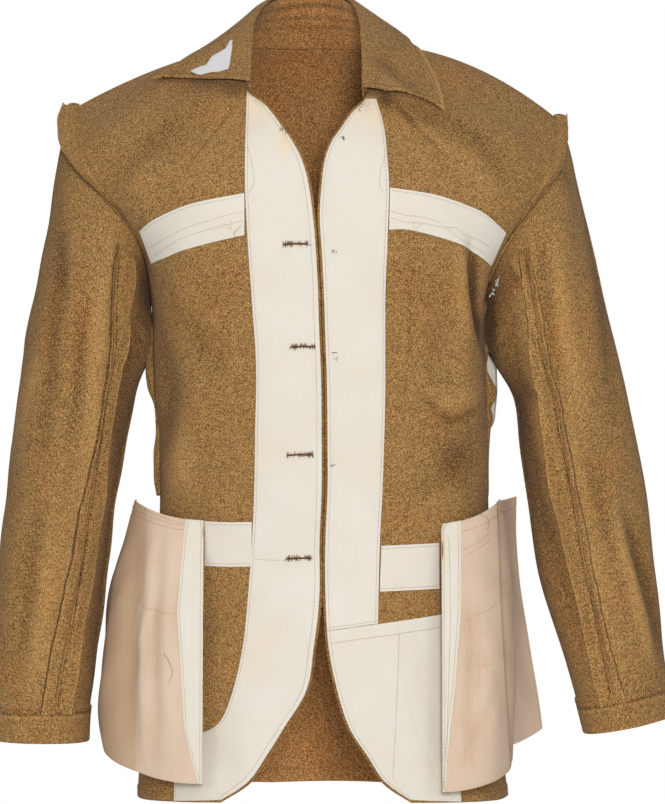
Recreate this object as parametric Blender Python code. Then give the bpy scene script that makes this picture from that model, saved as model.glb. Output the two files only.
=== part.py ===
"""A serge army tunic turned inside out and filled out as worn, with no wearer.

The wool panels are thin walls whose outer faces are the sheets below. Facings, stays and pockets
are sheets of cotton made from the panels' own points and moved out. Lengths are in millimetres
until a mesh is made. The front faces -Y, +X is the viewer's right, and the origin is between
the shoulders, where the wearer holds the tunic up.
"""

import math

import bmesh
import bpy
import numpy as np
from mathutils import Vector
from mathutils.bvhtree import BVHTree

MM = 0.001
WOOL = 2.0
COTTON = 1.2
TAPE = 1.0
BAG_CLOTH = 2.0
SEAM_GAP = 0.3
LAY_GAP = 0.3
SQUARENESS = 2.5
EDGE_SHOWN = 0.0068
CUFF_TURN = 34.0
CUFF_RISE = 1.8
CUFF_STEP = 0.06
SEAM_FLAP = 0.55
SHARP_ANGLE = math.radians(40)
CUT_DISTANCE = 0.02
MERGE_DISTANCE = 0.05
CLEAR_TRIES = 3

KHAKI = (0.34, 0.20, 0.085)
CREAM = (0.80, 0.73, 0.63)
BAG_CREAM = (0.70, 0.57, 0.42)
WHITE = (0.85, 0.85, 0.84)

# Body below the armpit, from the hem up. edge_l and edge_r are the two front edges.
# Columns: z_side, z_edge, middle, half_width, front, back, edge_l, edge_r.
BODY = np.array([
    (-684, -678, 5, 175, 122, 118, -88, 86),
    (-662, -660, 5, 173, 121, 116, -62, 60),
    (-638, -636, 5, 171, 119, 114, -45, 44),
    (-610, -609, 5, 168, 117, 111, -28, 27),
    (-575, -575, 5, 165, 115, 109, -8, 16),
    (-535, -535, 5, 162, 112, 106, -1, 8),
    (-490, -490, 5, 159, 109, 103, 4, 5.2),
    (-440, -440, 5, 156, 107, 101, 4, 5),
    (-390, -390, 5, 155, 108, 102, 6, 7),
    (-340, -340, 4, 156, 111, 104, 6, 7),
    (-290, -290, 2, 157, 115, 107, 5.5, 6.5),
    (-250, -250, 1, 158, 117, 109, 4, 5),
    (-215, -215, 0, 158, 118, 110, 3, 4),
], float)

# Armhole seams from the armpit up to the shoulder tip.
# Columns: x, y_front, y_back, z_front, z_back.
ARMHOLE_L = np.array([
    (-158, 0, 0, -215, -215),
    (-160, -24, 28, -190, -190),
    (-165, -42, 50, -168, -166),
    (-174, -55, 64, -150, -146),
    (-187, -62, 70, -132, -127),
    (-202, -62, 70, -115, -109),
    (-217, -55, 63, -98, -92),
    (-228, -43, 52, -80, -76),
    (-232, -28, 37, -62, -60),
    (-234, -12, 20, -45, -45),
    (-232, 4, 4, -31, -31),
], float)
ARMHOLE_R = np.array([
    (158, 0, 0, -215, -215),
    (162, -23, 28, -197, -195),
    (168, -41, 50, -181, -176),
    (176, -54, 64, -165, -157),
    (187, -62, 70, -147, -138),
    (200, -62, 70, -127, -119),
    (214, -55, 63, -107, -101),
    (225, -43, 52, -89, -85),
    (229, -28, 37, -72, -70),
    (231, -12, 20, -56, -56),
    (229, 4, 4, -42, -42),
], float)

# Front edge and neck seam, and the centre of the back, from the armpit's level up.
# Columns: x_l, y_l, z_l, x_r, y_r, z_r, y_back, z_back.
NECK = np.array([
    (3, -118, -215, 4, -118, -215, 110, -215),
    (1, -118, -175, 2, -118, -175, 111, -180),
    (-2, -117, -140, 0, -117, -140, 110, -150),
    (-6, -115, -110, 2, -115, -110, 108, -122),
    (-12, -112, -88, 5, -112, -88, 106, -96),
    (-20, -108, -72, 11.5, -108, -71, 103, -72),
    (-31, -102, -56, 20, -103, -58, 99, -48),
    (-46, -93, -36, 30, -96, -43, 94, -26),
    (-63, -82, -22, 43, -86, -29, 88, -5),
    (-74, -40, 8, 59, -42, 3, 82, 14),
    (-77, 4, 29, 68, 4, 29, 75, 32),
], float)
COLLAR_ROW = 8
NECK_AT = 0.62
NECK_MIDDLE = -5.0
SHOULDER_CROWN = {-1: 7.0, 1: 15.0}
BACK_RISE = 2.5

# Sleeves from the armpit's level down. tilt raises the outer side of a section.
# Columns: z, x, half_width, y, half_depth, tilt.
SLEEVE_L = np.array([
    (-252, -220, 58, 2, 62, 0),
    (-277, -223, 57.5, 1, 61, 0),
    (-307, -228.5, 54, 0, 59, 0),
    (-356, -237, 53, -3, 57, 0),
    (-408, -245, 51, -7, 55, 0),
    (-461, -251, 51, -11, 53, 0),
    (-508, -255, 49.5, -14, 50, 0),
    (-548, -259, 48, -17, 47, 0),
    (-592, -263, 46.5, -20, 45, 0),
    (-629, -264.5, 45.5, -22, 44, 1),
], float)
SLEEVE_R = np.array([
    (-252, 223, 60, 2, 62, 1),
    (-277, 230, 58.5, 1, 61, 2),
    (-307, 241, 54, 0, 59, 3),
    (-352, 247.5, 55.5, -3, 57, 4),
    (-403, 255, 55.5, -7, 55, 5),
    (-459, 262.5, 54, -11, 53, 6),
    (-508, 273, 51, -14, 50, 7),
    (-552, 281, 46, -17, 47, 8),
    (-582, 287, 43.5, -20, 45, 9),
    (-614, 294, 43, -22, 44, 9),
], float)
CAP_STEPS = (0.0, 0.12, 0.25, 0.45, 0.7)
CAP_FULLNESS = 60.0
CAP_FADE = 6
FRONT_SEAM = {"l": 3, "r": 4}
HIND_SEAM = 4
DEGREES_A_STEP = 18.0

# Collar from the left front end round the back to the right one: roll line and lower edge.
# Columns: roll_x, roll_y, roll_z, edge_x, edge_y, edge_z.
COLLAR = np.array([
    (-64, -85, -16, -152, -26, -12),
    (-63, -46, 24, -126, -16, 15),
    (-60, -4, 52, -102, 20, 26),
    (-45, 40, 74, -74, 66, 24),
    (-6, 60, 84, -6, 98, 24),
    (28, 42, 75, 62, 68, 24),
    (40, -2, 52, 86, 22, 38),
    (43, -46, 16, 104, -30, -20),
    (43, -89, -23, 111, -62, -49),
], float)
ROLL_WIDTH = 0.3
ROLL_HEIGHT = 10.0
STAND_ROWS = (0.0, 0.5, 1.0)
FALL_ROWS = (0.0, 0.16, 0.36, 0.58, 0.8, 1.0)
FALL_RISE = 1.1
FALL_LYING = 2
LABEL_COLUMNS = 5
FALL_CLEARANCE = 3.0
CHEST_MIDDLE = np.array((0, 0, -200.0))

# Pocket bags hanging outside the skirt, from the mouth down.
# Columns: z_front, z_side, x_front, y_front, x_side, y_side.
BAG_L = np.array([
    (-420, -403, -105, -85, -174, 2),
    (-452, -440, -105, -97, -184, 4),
    (-490, -485, -105, -105, -197, 6),
    (-545, -545, -105, -111, -203, 8),
    (-605, -600, -105, -117, -207, 10),
    (-660, -638, -105, -121, -204, 12),
], float)
BAG_R = np.array([
    (-423, -402, 114, -85, 172, -22),
    (-455, -440, 114, -98, 177, -22),
    (-495, -485, 114, -107, 182, -22),
    (-550, -545, 114, -114, 185, -20),
    (-610, -605, 114, -120, 186, -16),
    (-667, -650, 114, -125, 185, -12),
], float)
BAG_SIDE_R = np.array([
    (-404, -401, 169.4, -32, 190, 20),
    (-440, -438, 174.4, -32, 191, 22),
    (-485, -482, 179.4, -32, 194, 26),
    (-540, -536, 181.6, -30, 202, 30),
    (-590, -584, 182.4, -26, 210, 34),
    (-636, -624, 181.6, -22, 215, 38),
], float)
BAG_FULLNESS = 2.4
BAG_ACROSS = 9
BAG_CLEARANCE = 0.6
SKIRT_MIDDLE = np.array((0, 0, -500.0))

# Soft folds: place, half length and direction on the front view, half width, depth outwards.
# Columns: face, x, z, reach, lean, width, depth.
FOLDS = (
    (-1, 141, -275, 60, 4, 13, 7),
    (-1, 116, -262, 55, 2, 12, -5),
    (-1, -118, -300, 70, -6, 16, 4),
    (-1, -140, -240, 40, 10, 14, -4),
    (-1, -62, -640, 80, -8, 18, 4),
    (1, -104, -610, 130, -8, 24, 9),
    (1, -48, -630, 120, -3, 22, -6),
    (1, 18, -600, 140, 2, 24, 7),
    (1, 74, -625, 120, 6, 24, -6),
    (1, 122, -600, 130, 9, 22, 8),
    (1, -118, -180, 90, 22, 18, 6),
    (1, 118, -185, 90, -22, 18, 6),
    (1, -30, -330, 110, 30, 20, -4),
    (1, 52, -350, 110, -20, 20, 4),
)
FOLD_FADE = 45.0

FRONT_COLUMNS = (0.0, EDGE_SHOWN, 0.1, 0.2, 0.3, 0.4, 0.5, 0.6, 0.7, 0.8, 0.9, 1.0)
BACK_COLUMNS = (0.0, 0.155, 0.31, 0.465, NECK_AT, 0.715, 0.81, 0.905, 1.0)
YOKE_ROWS = (1, 2, 3, 4, 5, 6, 7, 8, 8.5, 9, 9.5, 10)

# Outlines of what lies on the fronts, on the front view.
FACING_L = (
    (40, 60), (-66, 60), (-66, -120), (-62, -215), (-56, -345), (-60, -470), (-70, -543),
    (-79, -581), (-89, -604), (-102, -613), (-132, -618), (-132, -720), (40, -720),
)
FACING_R = ((-40, 60), (50, 60), (65, -112), (62, -217), (62, -309), (55.5, -506.5), (-40, -520.5))
BREAST_L = (
    (-66.8, -120), (-97, -125), (-121, -131), (-150, -143), (-166, -151), (-158, -172),
    (-154, -182), (-125, -170), (-66.8, -158),
)
BREAST_R = (
    (65.8, -115), (107, -121), (142, -132), (158, -140), (175, -153), (167, -169),
    (160, -184), (127, -165), (87, -154), (65.8, -153),
)
WAIST_L = ((-60.6, -421), (-104, -421), (-104, -462), (-60.8, -462))
WAIST_R = ((59.8, -443), (112, -441), (112, -483), (58.6, -485))
SKIRT_POCKET = ((-20, -522.3), (9, -519), (113, -506), (130, -506), (130, -720), (-20, -720))
UNDERARM = ((2, -234), (62, -246), (58, -338), (2, -338))
STRIP_L = (
    (-104, -380), (-123, -430), (-129, -505), (-125, -560), (-122, -610), (-108, -700), (-60, -700),
)
STRIP_R = ((100, -380), (133, -400), (130, -500), (126, -570), (116, -680), (100, -690))
LABEL = ((-117, -5), (-99, 11), (-83, 27), (-80, 27), (-80, 0), (-83, -3), (-99, -6))

# Raw allowances standing on the armhole and side seams: where, how wide and how uneven.
ARMHOLE_FROM = 1.5
ARMHOLE_ALLOWANCE = 11.0
ARMHOLE_UNEVEN = 0.15
ARMHOLE_WAVE = 1.7
ARMHOLE_LEAN = (0.45, 0.1)
SIDE_EDGE_Z = (-292, -398)
SIDE_EDGE_STEPS = 15
SIDE_ALLOWANCE = 7.7
SIDE_EDGE_WAVES = ((41.0, 1.7), (17.0, 0.85))
EDGE_LIFT = 0.8
EDGE_FOOT = 0.4
EDGE_CREST = 1.1


def smooth(table, at):
    """A row between the rows of a table, on a curve through them."""
    last = len(table) - 1
    low = min(int(math.floor(at)), last - 1)
    rows = [table[min(max(low + step, 0), last)] for step in (-1, 0, 1, 2)]
    f = at - low
    before = -0.5 * f + f * f - 0.5 * f ** 3
    here = 1 - 2.5 * f * f + 1.5 * f ** 3
    after = 0.5 * f + 2 * f * f - 1.5 * f ** 3
    beyond = -0.5 * f * f + 0.5 * f ** 3
    return before * rows[0] + here * rows[1] + after * rows[2] + beyond * rows[3]


def quarter(angle):
    """Across and deep shares of a rounded quarter, 0 at its middle and 90 at its side."""
    power = 2 / SQUARENESS
    return math.sin(angle) ** power, max(math.cos(angle), 0.0) ** power


def body_front(side, column, at):
    """A point of a front below the armpit: column 0 is its edge and 1 the side seam."""
    z_side, z_edge, middle, half_width, front, _, edge_l, edge_r = smooth(BODY, at)
    edge = side * ((edge_r if side > 0 else edge_l) - middle)
    start = math.copysign(math.asin((abs(edge) / half_width) ** (SQUARENESS / 2)), edge)
    angle = start + column * (math.pi / 2 - start)
    across, deep = quarter(abs(angle))
    across = math.copysign(across, angle)
    z = z_edge + (z_side - z_edge) * column
    return np.array((middle + side * half_width * across, -front * deep, z))


def body_back(side, column, at):
    """A point of the back below the armpit: column 0 is the side seam and 1 the middle."""
    z_side, _, middle, half_width, _, back, _, _ = smooth(BODY, at)
    across, deep = quarter((1 - column) * math.pi / 2)
    return np.array((middle + side * half_width * across, back * deep, z_side))


def armhole(side, face, at):
    """A point of the armhole seam on the front, face -1, or the back, face 1."""
    x, y_front, y_back, z_front, z_back = smooth(ARMHOLE_R if side > 0 else ARMHOLE_L, at)
    return np.array((x, y_front, z_front)) if face < 0 else np.array((x, y_back, z_back))


def front_edge(side, at):
    row = smooth(NECK, at)
    return row[3:6] if side > 0 else row[0:3]


def back_middle(at):
    row = smooth(NECK, at)
    return np.array((NECK_MIDDLE * at / (len(NECK) - 1), row[6], row[7]))


def shoulder_seam(side, share):
    """A point of the crowned shoulder seam, a share of the way from the neck to the tip."""
    top = len(NECK) - 1
    neck = front_edge(side, top)
    crown = SHOULDER_CROWN[side] * 4 * share * (1 - share)
    return neck + (armhole(side, 1, top) - neck) * share + np.array((0, 0, crown))


def back_top(side, column):
    """Top of the back: the shoulder seam from the tip to the neck, then the neck seam."""
    top = len(NECK) - 1
    neck = front_edge(side, top)
    if column <= NECK_AT:
        return shoulder_seam(side, 1 - column / NECK_AT)
    turn = (column - NECK_AT) / (1 - NECK_AT) * math.pi / 2
    middle = back_middle(top)
    x = middle[0] + (neck[0] - middle[0]) * math.cos(turn)
    y, z = neck[1:] + (middle[1:] - neck[1:]) * math.sin(turn)
    return np.array((x, y, z))


def yoke(low, high, first, last, column, rise):
    """A patch between its low and high edges that also follows its first and last sides."""
    low_here, low_first, low_last = low
    high_here, high_first, high_last = high
    base = low_here + (high_here - low_here) * rise
    to_first = first - (low_first + (high_first - low_first) * rise)
    to_last = last - (low_last + (high_last - low_last) * rise)
    return base + (1 - column) * to_first + column * to_last


def yoke_front(side, column, at):
    top = len(NECK) - 1
    v = at / top
    rise = v * v * (3 - 2 * v)
    row = len(BODY) - 1
    low = [body_front(side, c, row) for c in (column, 0, 1)]
    high = [shoulder_seam(side, c) for c in (column, 0, 1)]
    return yoke(low, high, front_edge(side, at), armhole(side, -1, at), column, rise)


def yoke_back(side, column, at):
    top = len(NECK) - 1
    rise = (at / top) ** BACK_RISE
    row = len(BODY) - 1
    low = [body_back(side, c, row) for c in (column, 0, 1)]
    high = [back_top(side, c) for c in (column, 0, 1)]
    return yoke(low, high, armhole(side, 1, at), back_middle(at), column, rise)


def folded(point):
    """The point moved by the soft folds of its face, which fade out towards the sides."""
    moved = np.array(point)
    strength = min(1.0, abs(point[1]) / FOLD_FADE)
    for face, x, z, reach, lean, width, depth in FOLDS:
        along = (point[2] - z) / reach
        if face * point[1] <= 0 or abs(along) >= 1:
            continue
        across = (point[0] - x - lean * along) / width
        moved[1] += face * depth * strength * (1 - along * along) ** 2 * math.exp(-across * across)
    return moved


def body_rows():
    return [("body", at) for at in range(len(BODY))] + [("yoke", at) for at in YOKE_ROWS]


def front_grid(side):
    made = {"body": body_front, "yoke": yoke_front}
    rows = []
    for part, at in body_rows():
        rows.append([folded(made[part](side, c, at)) for c in FRONT_COLUMNS])
    return np.array(rows)


def back_grid():
    made = {"body": body_back, "yoke": yoke_back}
    rows = []
    for part, at in body_rows():
        left = [folded(made[part](-1, c, at)) for c in BACK_COLUMNS]
        right = [folded(made[part](1, c, at)) for c in BACK_COLUMNS[-2::-1]]
        rows.append(left + right)
    return np.array(rows)


def sleeve_steps():
    """Ring of the sleeve in steps of the armhole, from the armpit over the front to the back."""
    steps = (0,) + YOKE_ROWS
    return [(-1, at) for at in steps] + [(1, at) for at in steps[-2::-1]]


def sleeve_ring(table, side, at):
    z, x, half_width, y, half_depth, tilt = smooth(table, at)
    ring = []
    for face, step in sleeve_steps():
        angle = -face * math.radians(DEGREES_A_STEP * step)
        inward = math.cos(angle)
        ring.append((x - side * half_width * inward, y - half_depth * math.sin(angle), z - tilt * inward))
    return np.array(ring)


def sleeve_grid(side):
    """Rings of a sleeve, and how far the outer face of each is raised by the turned-up cuff."""
    table = SLEEVE_R if side > 0 else SLEEVE_L
    seam = np.array([armhole(side, face, at) for face, at in sleeve_steps()])
    under = sleeve_ring(table, side, 0)
    outer = [max(0.0, -math.cos(math.radians(DEGREES_A_STEP * step))) for _, step in sleeve_steps()]
    puff = np.outer(outer, (side, 0, 0))
    rings = [seam + (under - seam) * f + puff * CAP_FULLNESS * f * (1 - f) ** CAP_FADE for f in CAP_STEPS]
    last = len(table) - 1
    turn = last - CUFF_TURN / (table[last - 1][0] - table[last][0])
    places = list(range(last)) + [turn, turn + CUFF_STEP, last]
    places.sort()
    rises = [0.0] * len(CAP_STEPS) + [CUFF_RISE if at > turn else 0.0 for at in places]
    rings += [sleeve_ring(table, side, at) for at in places]
    return np.array(rings), np.array(rises)


def unit(vectors):
    return vectors / np.linalg.norm(vectors, axis=-1, keepdims=True)


def grid_normals(grid, outwards, closed=False):
    """Unit normals of a grid, turned to the side that the given directions point to."""
    if closed:
        grid = np.concatenate([grid[:, -2:-1], grid, grid[:, 1:2]], axis=1)
    normals = np.cross(np.gradient(grid, axis=0), np.gradient(grid, axis=1))
    if closed:
        normals = normals[:, 1:-1]
    normals = unit(normals)
    return normals if (normals * outwards).sum() > 0 else -normals


def from_axis(grid, x=0.0):
    return (grid - np.array((x, 0, 0))) * np.array((1, 1, 0))


def flat_across(normals):
    """Normals with no part along Y, so that two walls meet in a plane across the garment."""
    return unit(normals * np.array((1, 0, 1)))


def triangles(rows, columns):
    """Two triangles for each cell of a grid, split the same way for every piece made from it."""
    faces = []
    for r in range(rows - 1):
        for c in range(columns - 1):
            here = r * columns + c
            faces.append((here, here + 1, here + columns + 1))
            faces.append((here, here + columns + 1, here + columns))
    return faces


def material(name, colour):
    made = bpy.data.materials.new(name)
    made.use_nodes = True
    shader = made.node_tree.nodes["Principled BSDF"]
    shader.inputs["Base Color"].default_value = (*colour, 1)
    shader.inputs["Roughness"].default_value = 0.9
    shader.inputs["Metallic"].default_value = 0.0
    return made


def wall(name, points, faces, normals, low, high, colour):
    """A closed wall on a sheet, from low to high millimetres along its normals."""
    points = np.asarray(points, float).reshape(-1, 3)
    normals = np.asarray(normals, float).reshape(-1, 3)
    low = np.broadcast_to(np.asarray(low, float).reshape(-1), len(points))
    high = np.broadcast_to(np.asarray(high, float).reshape(-1), len(points))
    mesh = bmesh.new()
    inner = [mesh.verts.new(p * MM) for p in points + normals * low[:, None]]
    outer = [mesh.verts.new(p * MM) for p in points + normals * high[:, None]]
    sides = {}
    for face in faces:
        mesh.faces.new([outer[i] for i in face])
        mesh.faces.new([inner[i] for i in reversed(face)])
        for a, b in zip(face, face[1:] + face[:1]):
            if sides.pop((b, a), None) is None:
                sides[(a, b)] = True
    for a, b in sides:
        upper, lower = (a, b) if points[a][2] > points[b][2] else (b, a)
        mesh.faces.new((outer[upper], outer[lower], inner[lower]))
        mesh.faces.new((outer[upper], inner[lower], inner[upper]))
    bmesh.ops.recalc_face_normals(mesh, faces=mesh.faces)
    data = bpy.data.meshes.new(name)
    mesh.to_mesh(data)
    mesh.free()
    data.shade_smooth()
    data.set_sharp_from_angle(angle=SHARP_ANGLE)
    data.materials.append(material(name + "_cloth", colour))
    piece = bpy.data.objects.new(name, data)
    bpy.context.scene.collection.objects.link(piece)
    return piece


def inset(grid, edges):
    """The grid with each named edge drawn in by half a seam's gap."""
    drawn = grid.copy()
    half = SEAM_GAP / 2
    if "first_column" in edges:
        drawn[:, 0] += half * unit(grid[:, 1] - grid[:, 0])
    if "last_column" in edges:
        drawn[:, -1] += half * unit(grid[:, -2] - grid[:, -1])
    if "first_row" in edges:
        drawn[0] += half * unit(grid[1] - grid[0])
    if "last_row" in edges:
        drawn[-1] += half * unit(grid[-2] - grid[-1])
    return drawn


def grid_wall(name, grid, normals, low, high, colour):
    rows, columns, _ = grid.shape
    return wall(name, grid, triangles(rows, columns), normals, low, high, colour)


def patch(grid, outline, axis=1, first_column=0):
    """The part of a sheet inside an outline seen along an axis: its points, faces and normals."""
    rows, columns, _ = grid.shape
    mesh = bmesh.new()
    verts = [mesh.verts.new(p) for p in grid.reshape(-1, 3)]
    for face in triangles(rows, columns):
        if min(i % columns for i in face) >= first_column:
            mesh.faces.new([verts[i] for i in face])
    flat = [0, 2] if axis == 1 else [1, 2]
    ring = list(zip(outline, outline[1:] + outline[:1]))
    for (u0, v0), (u1, v1) in ring:
        place = np.zeros(3)
        place[flat] = (u0, v0)
        across = np.zeros(3)
        across[flat] = (v1 - v0, u0 - u1)
        whole = mesh.verts[:] + mesh.edges[:] + mesh.faces[:]
        bmesh.ops.bisect_plane(mesh, geom=whole, dist=CUT_DISTANCE, plane_co=place, plane_no=across)
    outside = []
    for face in mesh.faces:
        middle = face.calc_center_median()
        u, v = middle[flat[0]], middle[flat[1]]
        crossings = 0
        for (u0, v0), (u1, v1) in ring:
            if (v0 > v) != (v1 > v) and u < u0 + (v - v0) * (u1 - u0) / (v1 - v0):
                crossings += 1
        if crossings % 2 == 0:
            outside.append(face)
    bmesh.ops.delete(mesh, geom=outside, context="FACES")
    bmesh.ops.delete(mesh, geom=[v for v in mesh.verts if not v.link_faces], context="VERTS")
    bmesh.ops.remove_doubles(mesh, verts=mesh.verts, dist=MERGE_DISTANCE)
    bmesh.ops.triangulate(mesh, faces=mesh.faces)
    mesh.normal_update()
    mesh.verts.index_update()
    points = np.array([v.co for v in mesh.verts])
    normals = np.array([v.normal for v in mesh.verts])
    faces = [tuple(v.index for v in face.verts) for face in mesh.faces]
    mesh.free()
    return points, faces, normals


def lay(name, sheet, thickness, colour, outwards, gap=LAY_GAP):
    """A piece of cloth lying on a sheet, on the side that outwards points to."""
    points, faces, normals = sheet
    if (normals @ np.array(outwards, float)).sum() < 0:
        normals = -normals
    return wall(name, points, faces, normals, gap, gap + thickness, colour)


def sheet_tree(grids):
    points = []
    faces = []
    for grid in grids:
        start = len(points)
        rows, columns, _ = grid.shape
        points += [Vector(p) for p in grid.reshape(-1, 3)]
        faces += [tuple(start + i for i in face) for face in triangles(rows, columns)]
    return BVHTree.FromPolygons(points, faces)


def clear_of(grid, tree, middle, clearance):
    """The grid with each point at least a clearance outside the sheets of the tree."""
    moved = grid.copy()
    for place in np.ndindex(grid.shape[:2]):
        for _ in range(CLEAR_TRIES):
            found, normal, _, _ = tree.find_nearest(Vector(moved[place]))
            normal = np.array(normal)
            found = np.array(found)
            if normal @ (found - middle) < 0:
                normal = -normal
            height = (moved[place] - found) @ normal
            if height < clearance:
                moved[place] += normal * (clearance - height)
    return moved


def standing_strip(name, roots, directions, width, colour):
    """A raw seam allowance standing on a seam: a narrow foot, widening to two layers of cloth."""
    along = unit(np.gradient(roots, axis=0))
    thick = unit(np.cross(along, directions))
    tips = roots + directions * np.asarray(width, float).reshape(-1, 1)
    mesh = bmesh.new()
    rows = []
    for root, tip, out in zip(roots, tips, thick):
        foot = out * EDGE_FOOT
        crest = out * EDGE_CREST
        corners = (root - foot, root + foot, tip + crest, tip - crest)
        rows.append([mesh.verts.new(p * MM) for p in corners])
    for here, there in zip(rows, rows[1:]):
        for i in range(4):
            j = (i + 1) % 4
            mesh.faces.new((here[i], here[j], there[j], there[i]))
    mesh.faces.new(rows[0][::-1])
    mesh.faces.new(rows[-1])
    bmesh.ops.recalc_face_normals(mesh, faces=mesh.faces)
    data = bpy.data.meshes.new(name)
    mesh.to_mesh(data)
    mesh.free()
    data.materials.append(material(name + "_cloth", colour))
    piece = bpy.data.objects.new(name, data)
    bpy.context.scene.collection.objects.link(piece)
    return piece


def body_normals(grids):
    """Normals of the fronts and the back, level across the side and shoulder seams."""
    low = len(BODY)
    normals = {name: grid_normals(grid, from_axis(grid)) for name, grid in grids.items()}
    for name in ("front_l", "front_r"):
        normals[name][:low, -1] = flat_across(normals[name][:low, -1])
        normals[name][-1] = flat_across(normals[name][-1])
    back = normals["back"]
    for column in (0, -1):
        back[:low, column] = flat_across(back[:low, column])
    neck = BACK_COLUMNS.index(NECK_AT)
    back[-1, :neck + 1] = flat_across(back[-1, :neck + 1])
    back[-1, -neck - 1:] = flat_across(back[-1, -neck - 1:])
    return normals


def share_armhole(side, normals, sleeve):
    """Gives the sleeve's first ring and the body the same normals round the armhole."""
    front = normals["front_r" if side > 0 else "front_l"]
    back = normals["back"]
    hind = -1 if side > 0 else 0
    first = len(BODY) - 1
    steps = len(YOKE_ROWS)
    for place in range(2 * steps + 1):
        up = place if place <= steps else 2 * steps - place
        row = first + up
        body = front[row, -1] if place <= steps else back[row, hind]
        if up in (0, steps):
            body = unit(front[row, -1] + back[row, hind])
        shared = unit(body + sleeve[0, place])
        sleeve[0, place] = shared
        if place <= steps:
            front[row, -1] = shared
        if place >= steps or place == 0:
            back[row, hind] = shared
    sleeve[0, -1] = sleeve[0, 0]


def neck_seam(grids, normals):
    """The neck seam from the left front end round the back to the right, with its normals."""
    start = len(BODY) - 1 + YOKE_ROWS.index(COLLAR_ROW) + 1
    neck = BACK_COLUMNS.index(NECK_AT)
    columns = grids["back"].shape[1]

    def chain(kind):
        left = kind["front_l"][start:, 0]
        back = kind["back"][-1, neck + 1:columns - neck - 1]
        right = kind["front_r"][start:, 0][::-1]
        return np.concatenate([left, back, right])

    return chain(grids), chain(normals)


def collar_stations():
    """Place of each neck seam point along the collar's table."""
    front = [at - COLLAR_ROW for at in YOKE_ROWS if at >= COLLAR_ROW]
    neck = BACK_COLUMNS.index(NECK_AT)
    back = [2 + 2 * (c - NECK_AT) / (1 - NECK_AT) for c in BACK_COLUMNS[neck + 1:]]
    left = front + back
    last = len(COLLAR) - 1
    return left + [last - at for at in left[-2::-1]]


def stand_grid(seam):
    roll = np.array([smooth(COLLAR, at)[:3] for at in collar_stations()])
    return np.array([seam + (roll - seam) * share for share in STAND_ROWS])


def fall_grid(tree):
    """The fall from its roll over the stand down to its edge, clear of the shoulders."""
    columns = []
    for at in collar_stations():
        row = smooth(COLLAR, at)
        roll, edge = row[:3], row[3:]
        run = (edge - roll) * np.array((1, 1, 0))
        start = roll - unit(run) * (WOOL + SEAM_GAP) + np.array((0, 0, WOOL + FALL_RISE))
        over = roll + run * ROLL_WIDTH + np.array((0, 0, ROLL_HEIGHT))
        columns.append([start * (1 - f) ** 2 + over * 2 * f * (1 - f) + edge * f * f for f in FALL_ROWS])
    grid = np.array(columns).transpose(1, 0, 2)
    grid[FALL_LYING:] = clear_of(grid[FALL_LYING:], tree, CHEST_MIDDLE, WOOL + FALL_CLEARANCE)
    return grid


def bag_grid(table, tree, flared=False):
    """A pocket bag as a sheet, from its front edge round to the side, or flaring out at the side."""
    rows = []
    for z_front, z_side, x_front, y_front, x_side, y_side in table:
        row = []
        for step in range(BAG_ACROSS + 1):
            angle = step / BAG_ACROSS * math.pi / 2
            sideways = math.sin(angle) ** (2 / BAG_FULLNESS)
            backwards = 1 - max(math.cos(angle), 0.0) ** (2 / BAG_FULLNESS)
            if flared:
                sideways, backwards = backwards, sideways
            x = x_front + (x_side - x_front) * sideways
            y = y_front + (y_side - y_front) * backwards
            row.append((x, y, z_front + (z_side - z_front) * sideways ** 2))
        rows.append(row)
    return clear_of(np.array(rows, float), tree, SKIRT_MIDDLE, BAG_CLOTH + BAG_CLEARANCE)


def make_sleeve(name, grid, rises, normals):
    """The top and under sleeve, and the allowances pressed open on the front seam."""
    steps = sleeve_steps()
    fore = steps.index((-1, FRONT_SEAM[name]))
    hind = steps.index((1, HIND_SEAM))
    top = slice(fore, hind + 1)
    cut = inset(grid[:, top], ("first_column", "last_column", "first_row"))
    high = np.repeat(rises[:, None], cut.shape[1], axis=1)
    grid_wall("sleeve_top_" + name, cut, normals[:, top], -WOOL, high, KHAKI)
    order = list(range(hind, len(steps) - 1)) + list(range(0, fore + 1))
    cut = inset(grid[:, order], ("first_column", "last_column", "first_row"))
    high = np.repeat(rises[:, None], cut.shape[1], axis=1)
    grid_wall("sleeve_under_" + name, cut, normals[:, order], -WOOL, high, KHAKI)
    rows = slice(2, int(np.argmax(rises > 0)))
    strip = np.stack([
        grid[rows, fore] + (grid[rows, fore - 1] - grid[rows, fore]) * SEAM_FLAP,
        grid[rows, fore],
        grid[rows, fore] + (grid[rows, fore + 1] - grid[rows, fore]) * SEAM_FLAP,
    ], axis=1)
    lie = np.stack([normals[rows, fore]] * 3, axis=1)
    lie[:, 0] = unit(lie[:, 0] + SEAM_FLAP * (normals[rows, fore - 1] - lie[:, 0]))
    lie[:, 2] = unit(lie[:, 2] + SEAM_FLAP * (normals[rows, fore + 1] - lie[:, 2]))
    grid_wall("sleeve_seam_" + name, strip, lie, 2 * LAY_GAP, 2 * LAY_GAP + COTTON, KHAKI)


def make_armhole_edge(side, name, grid, normals):
    steps = sleeve_steps()
    kept = [i for i, (_, at) in enumerate(steps[:-1]) if at >= ARMHOLE_FROM]
    out, up = ARMHOLE_LEAN
    lean = np.array((side * out, 0, up))
    directions = unit(normals[0, kept] + lean)
    roots = grid[0, kept] + normals[0, kept] * EDGE_LIFT
    waves = np.cos(ARMHOLE_WAVE * np.arange(len(kept)))
    width = ARMHOLE_ALLOWANCE * (1 - ARMHOLE_UNEVEN + ARMHOLE_UNEVEN * waves)
    standing_strip("armhole_edge_" + name, roots, directions, width, KHAKI)


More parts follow.
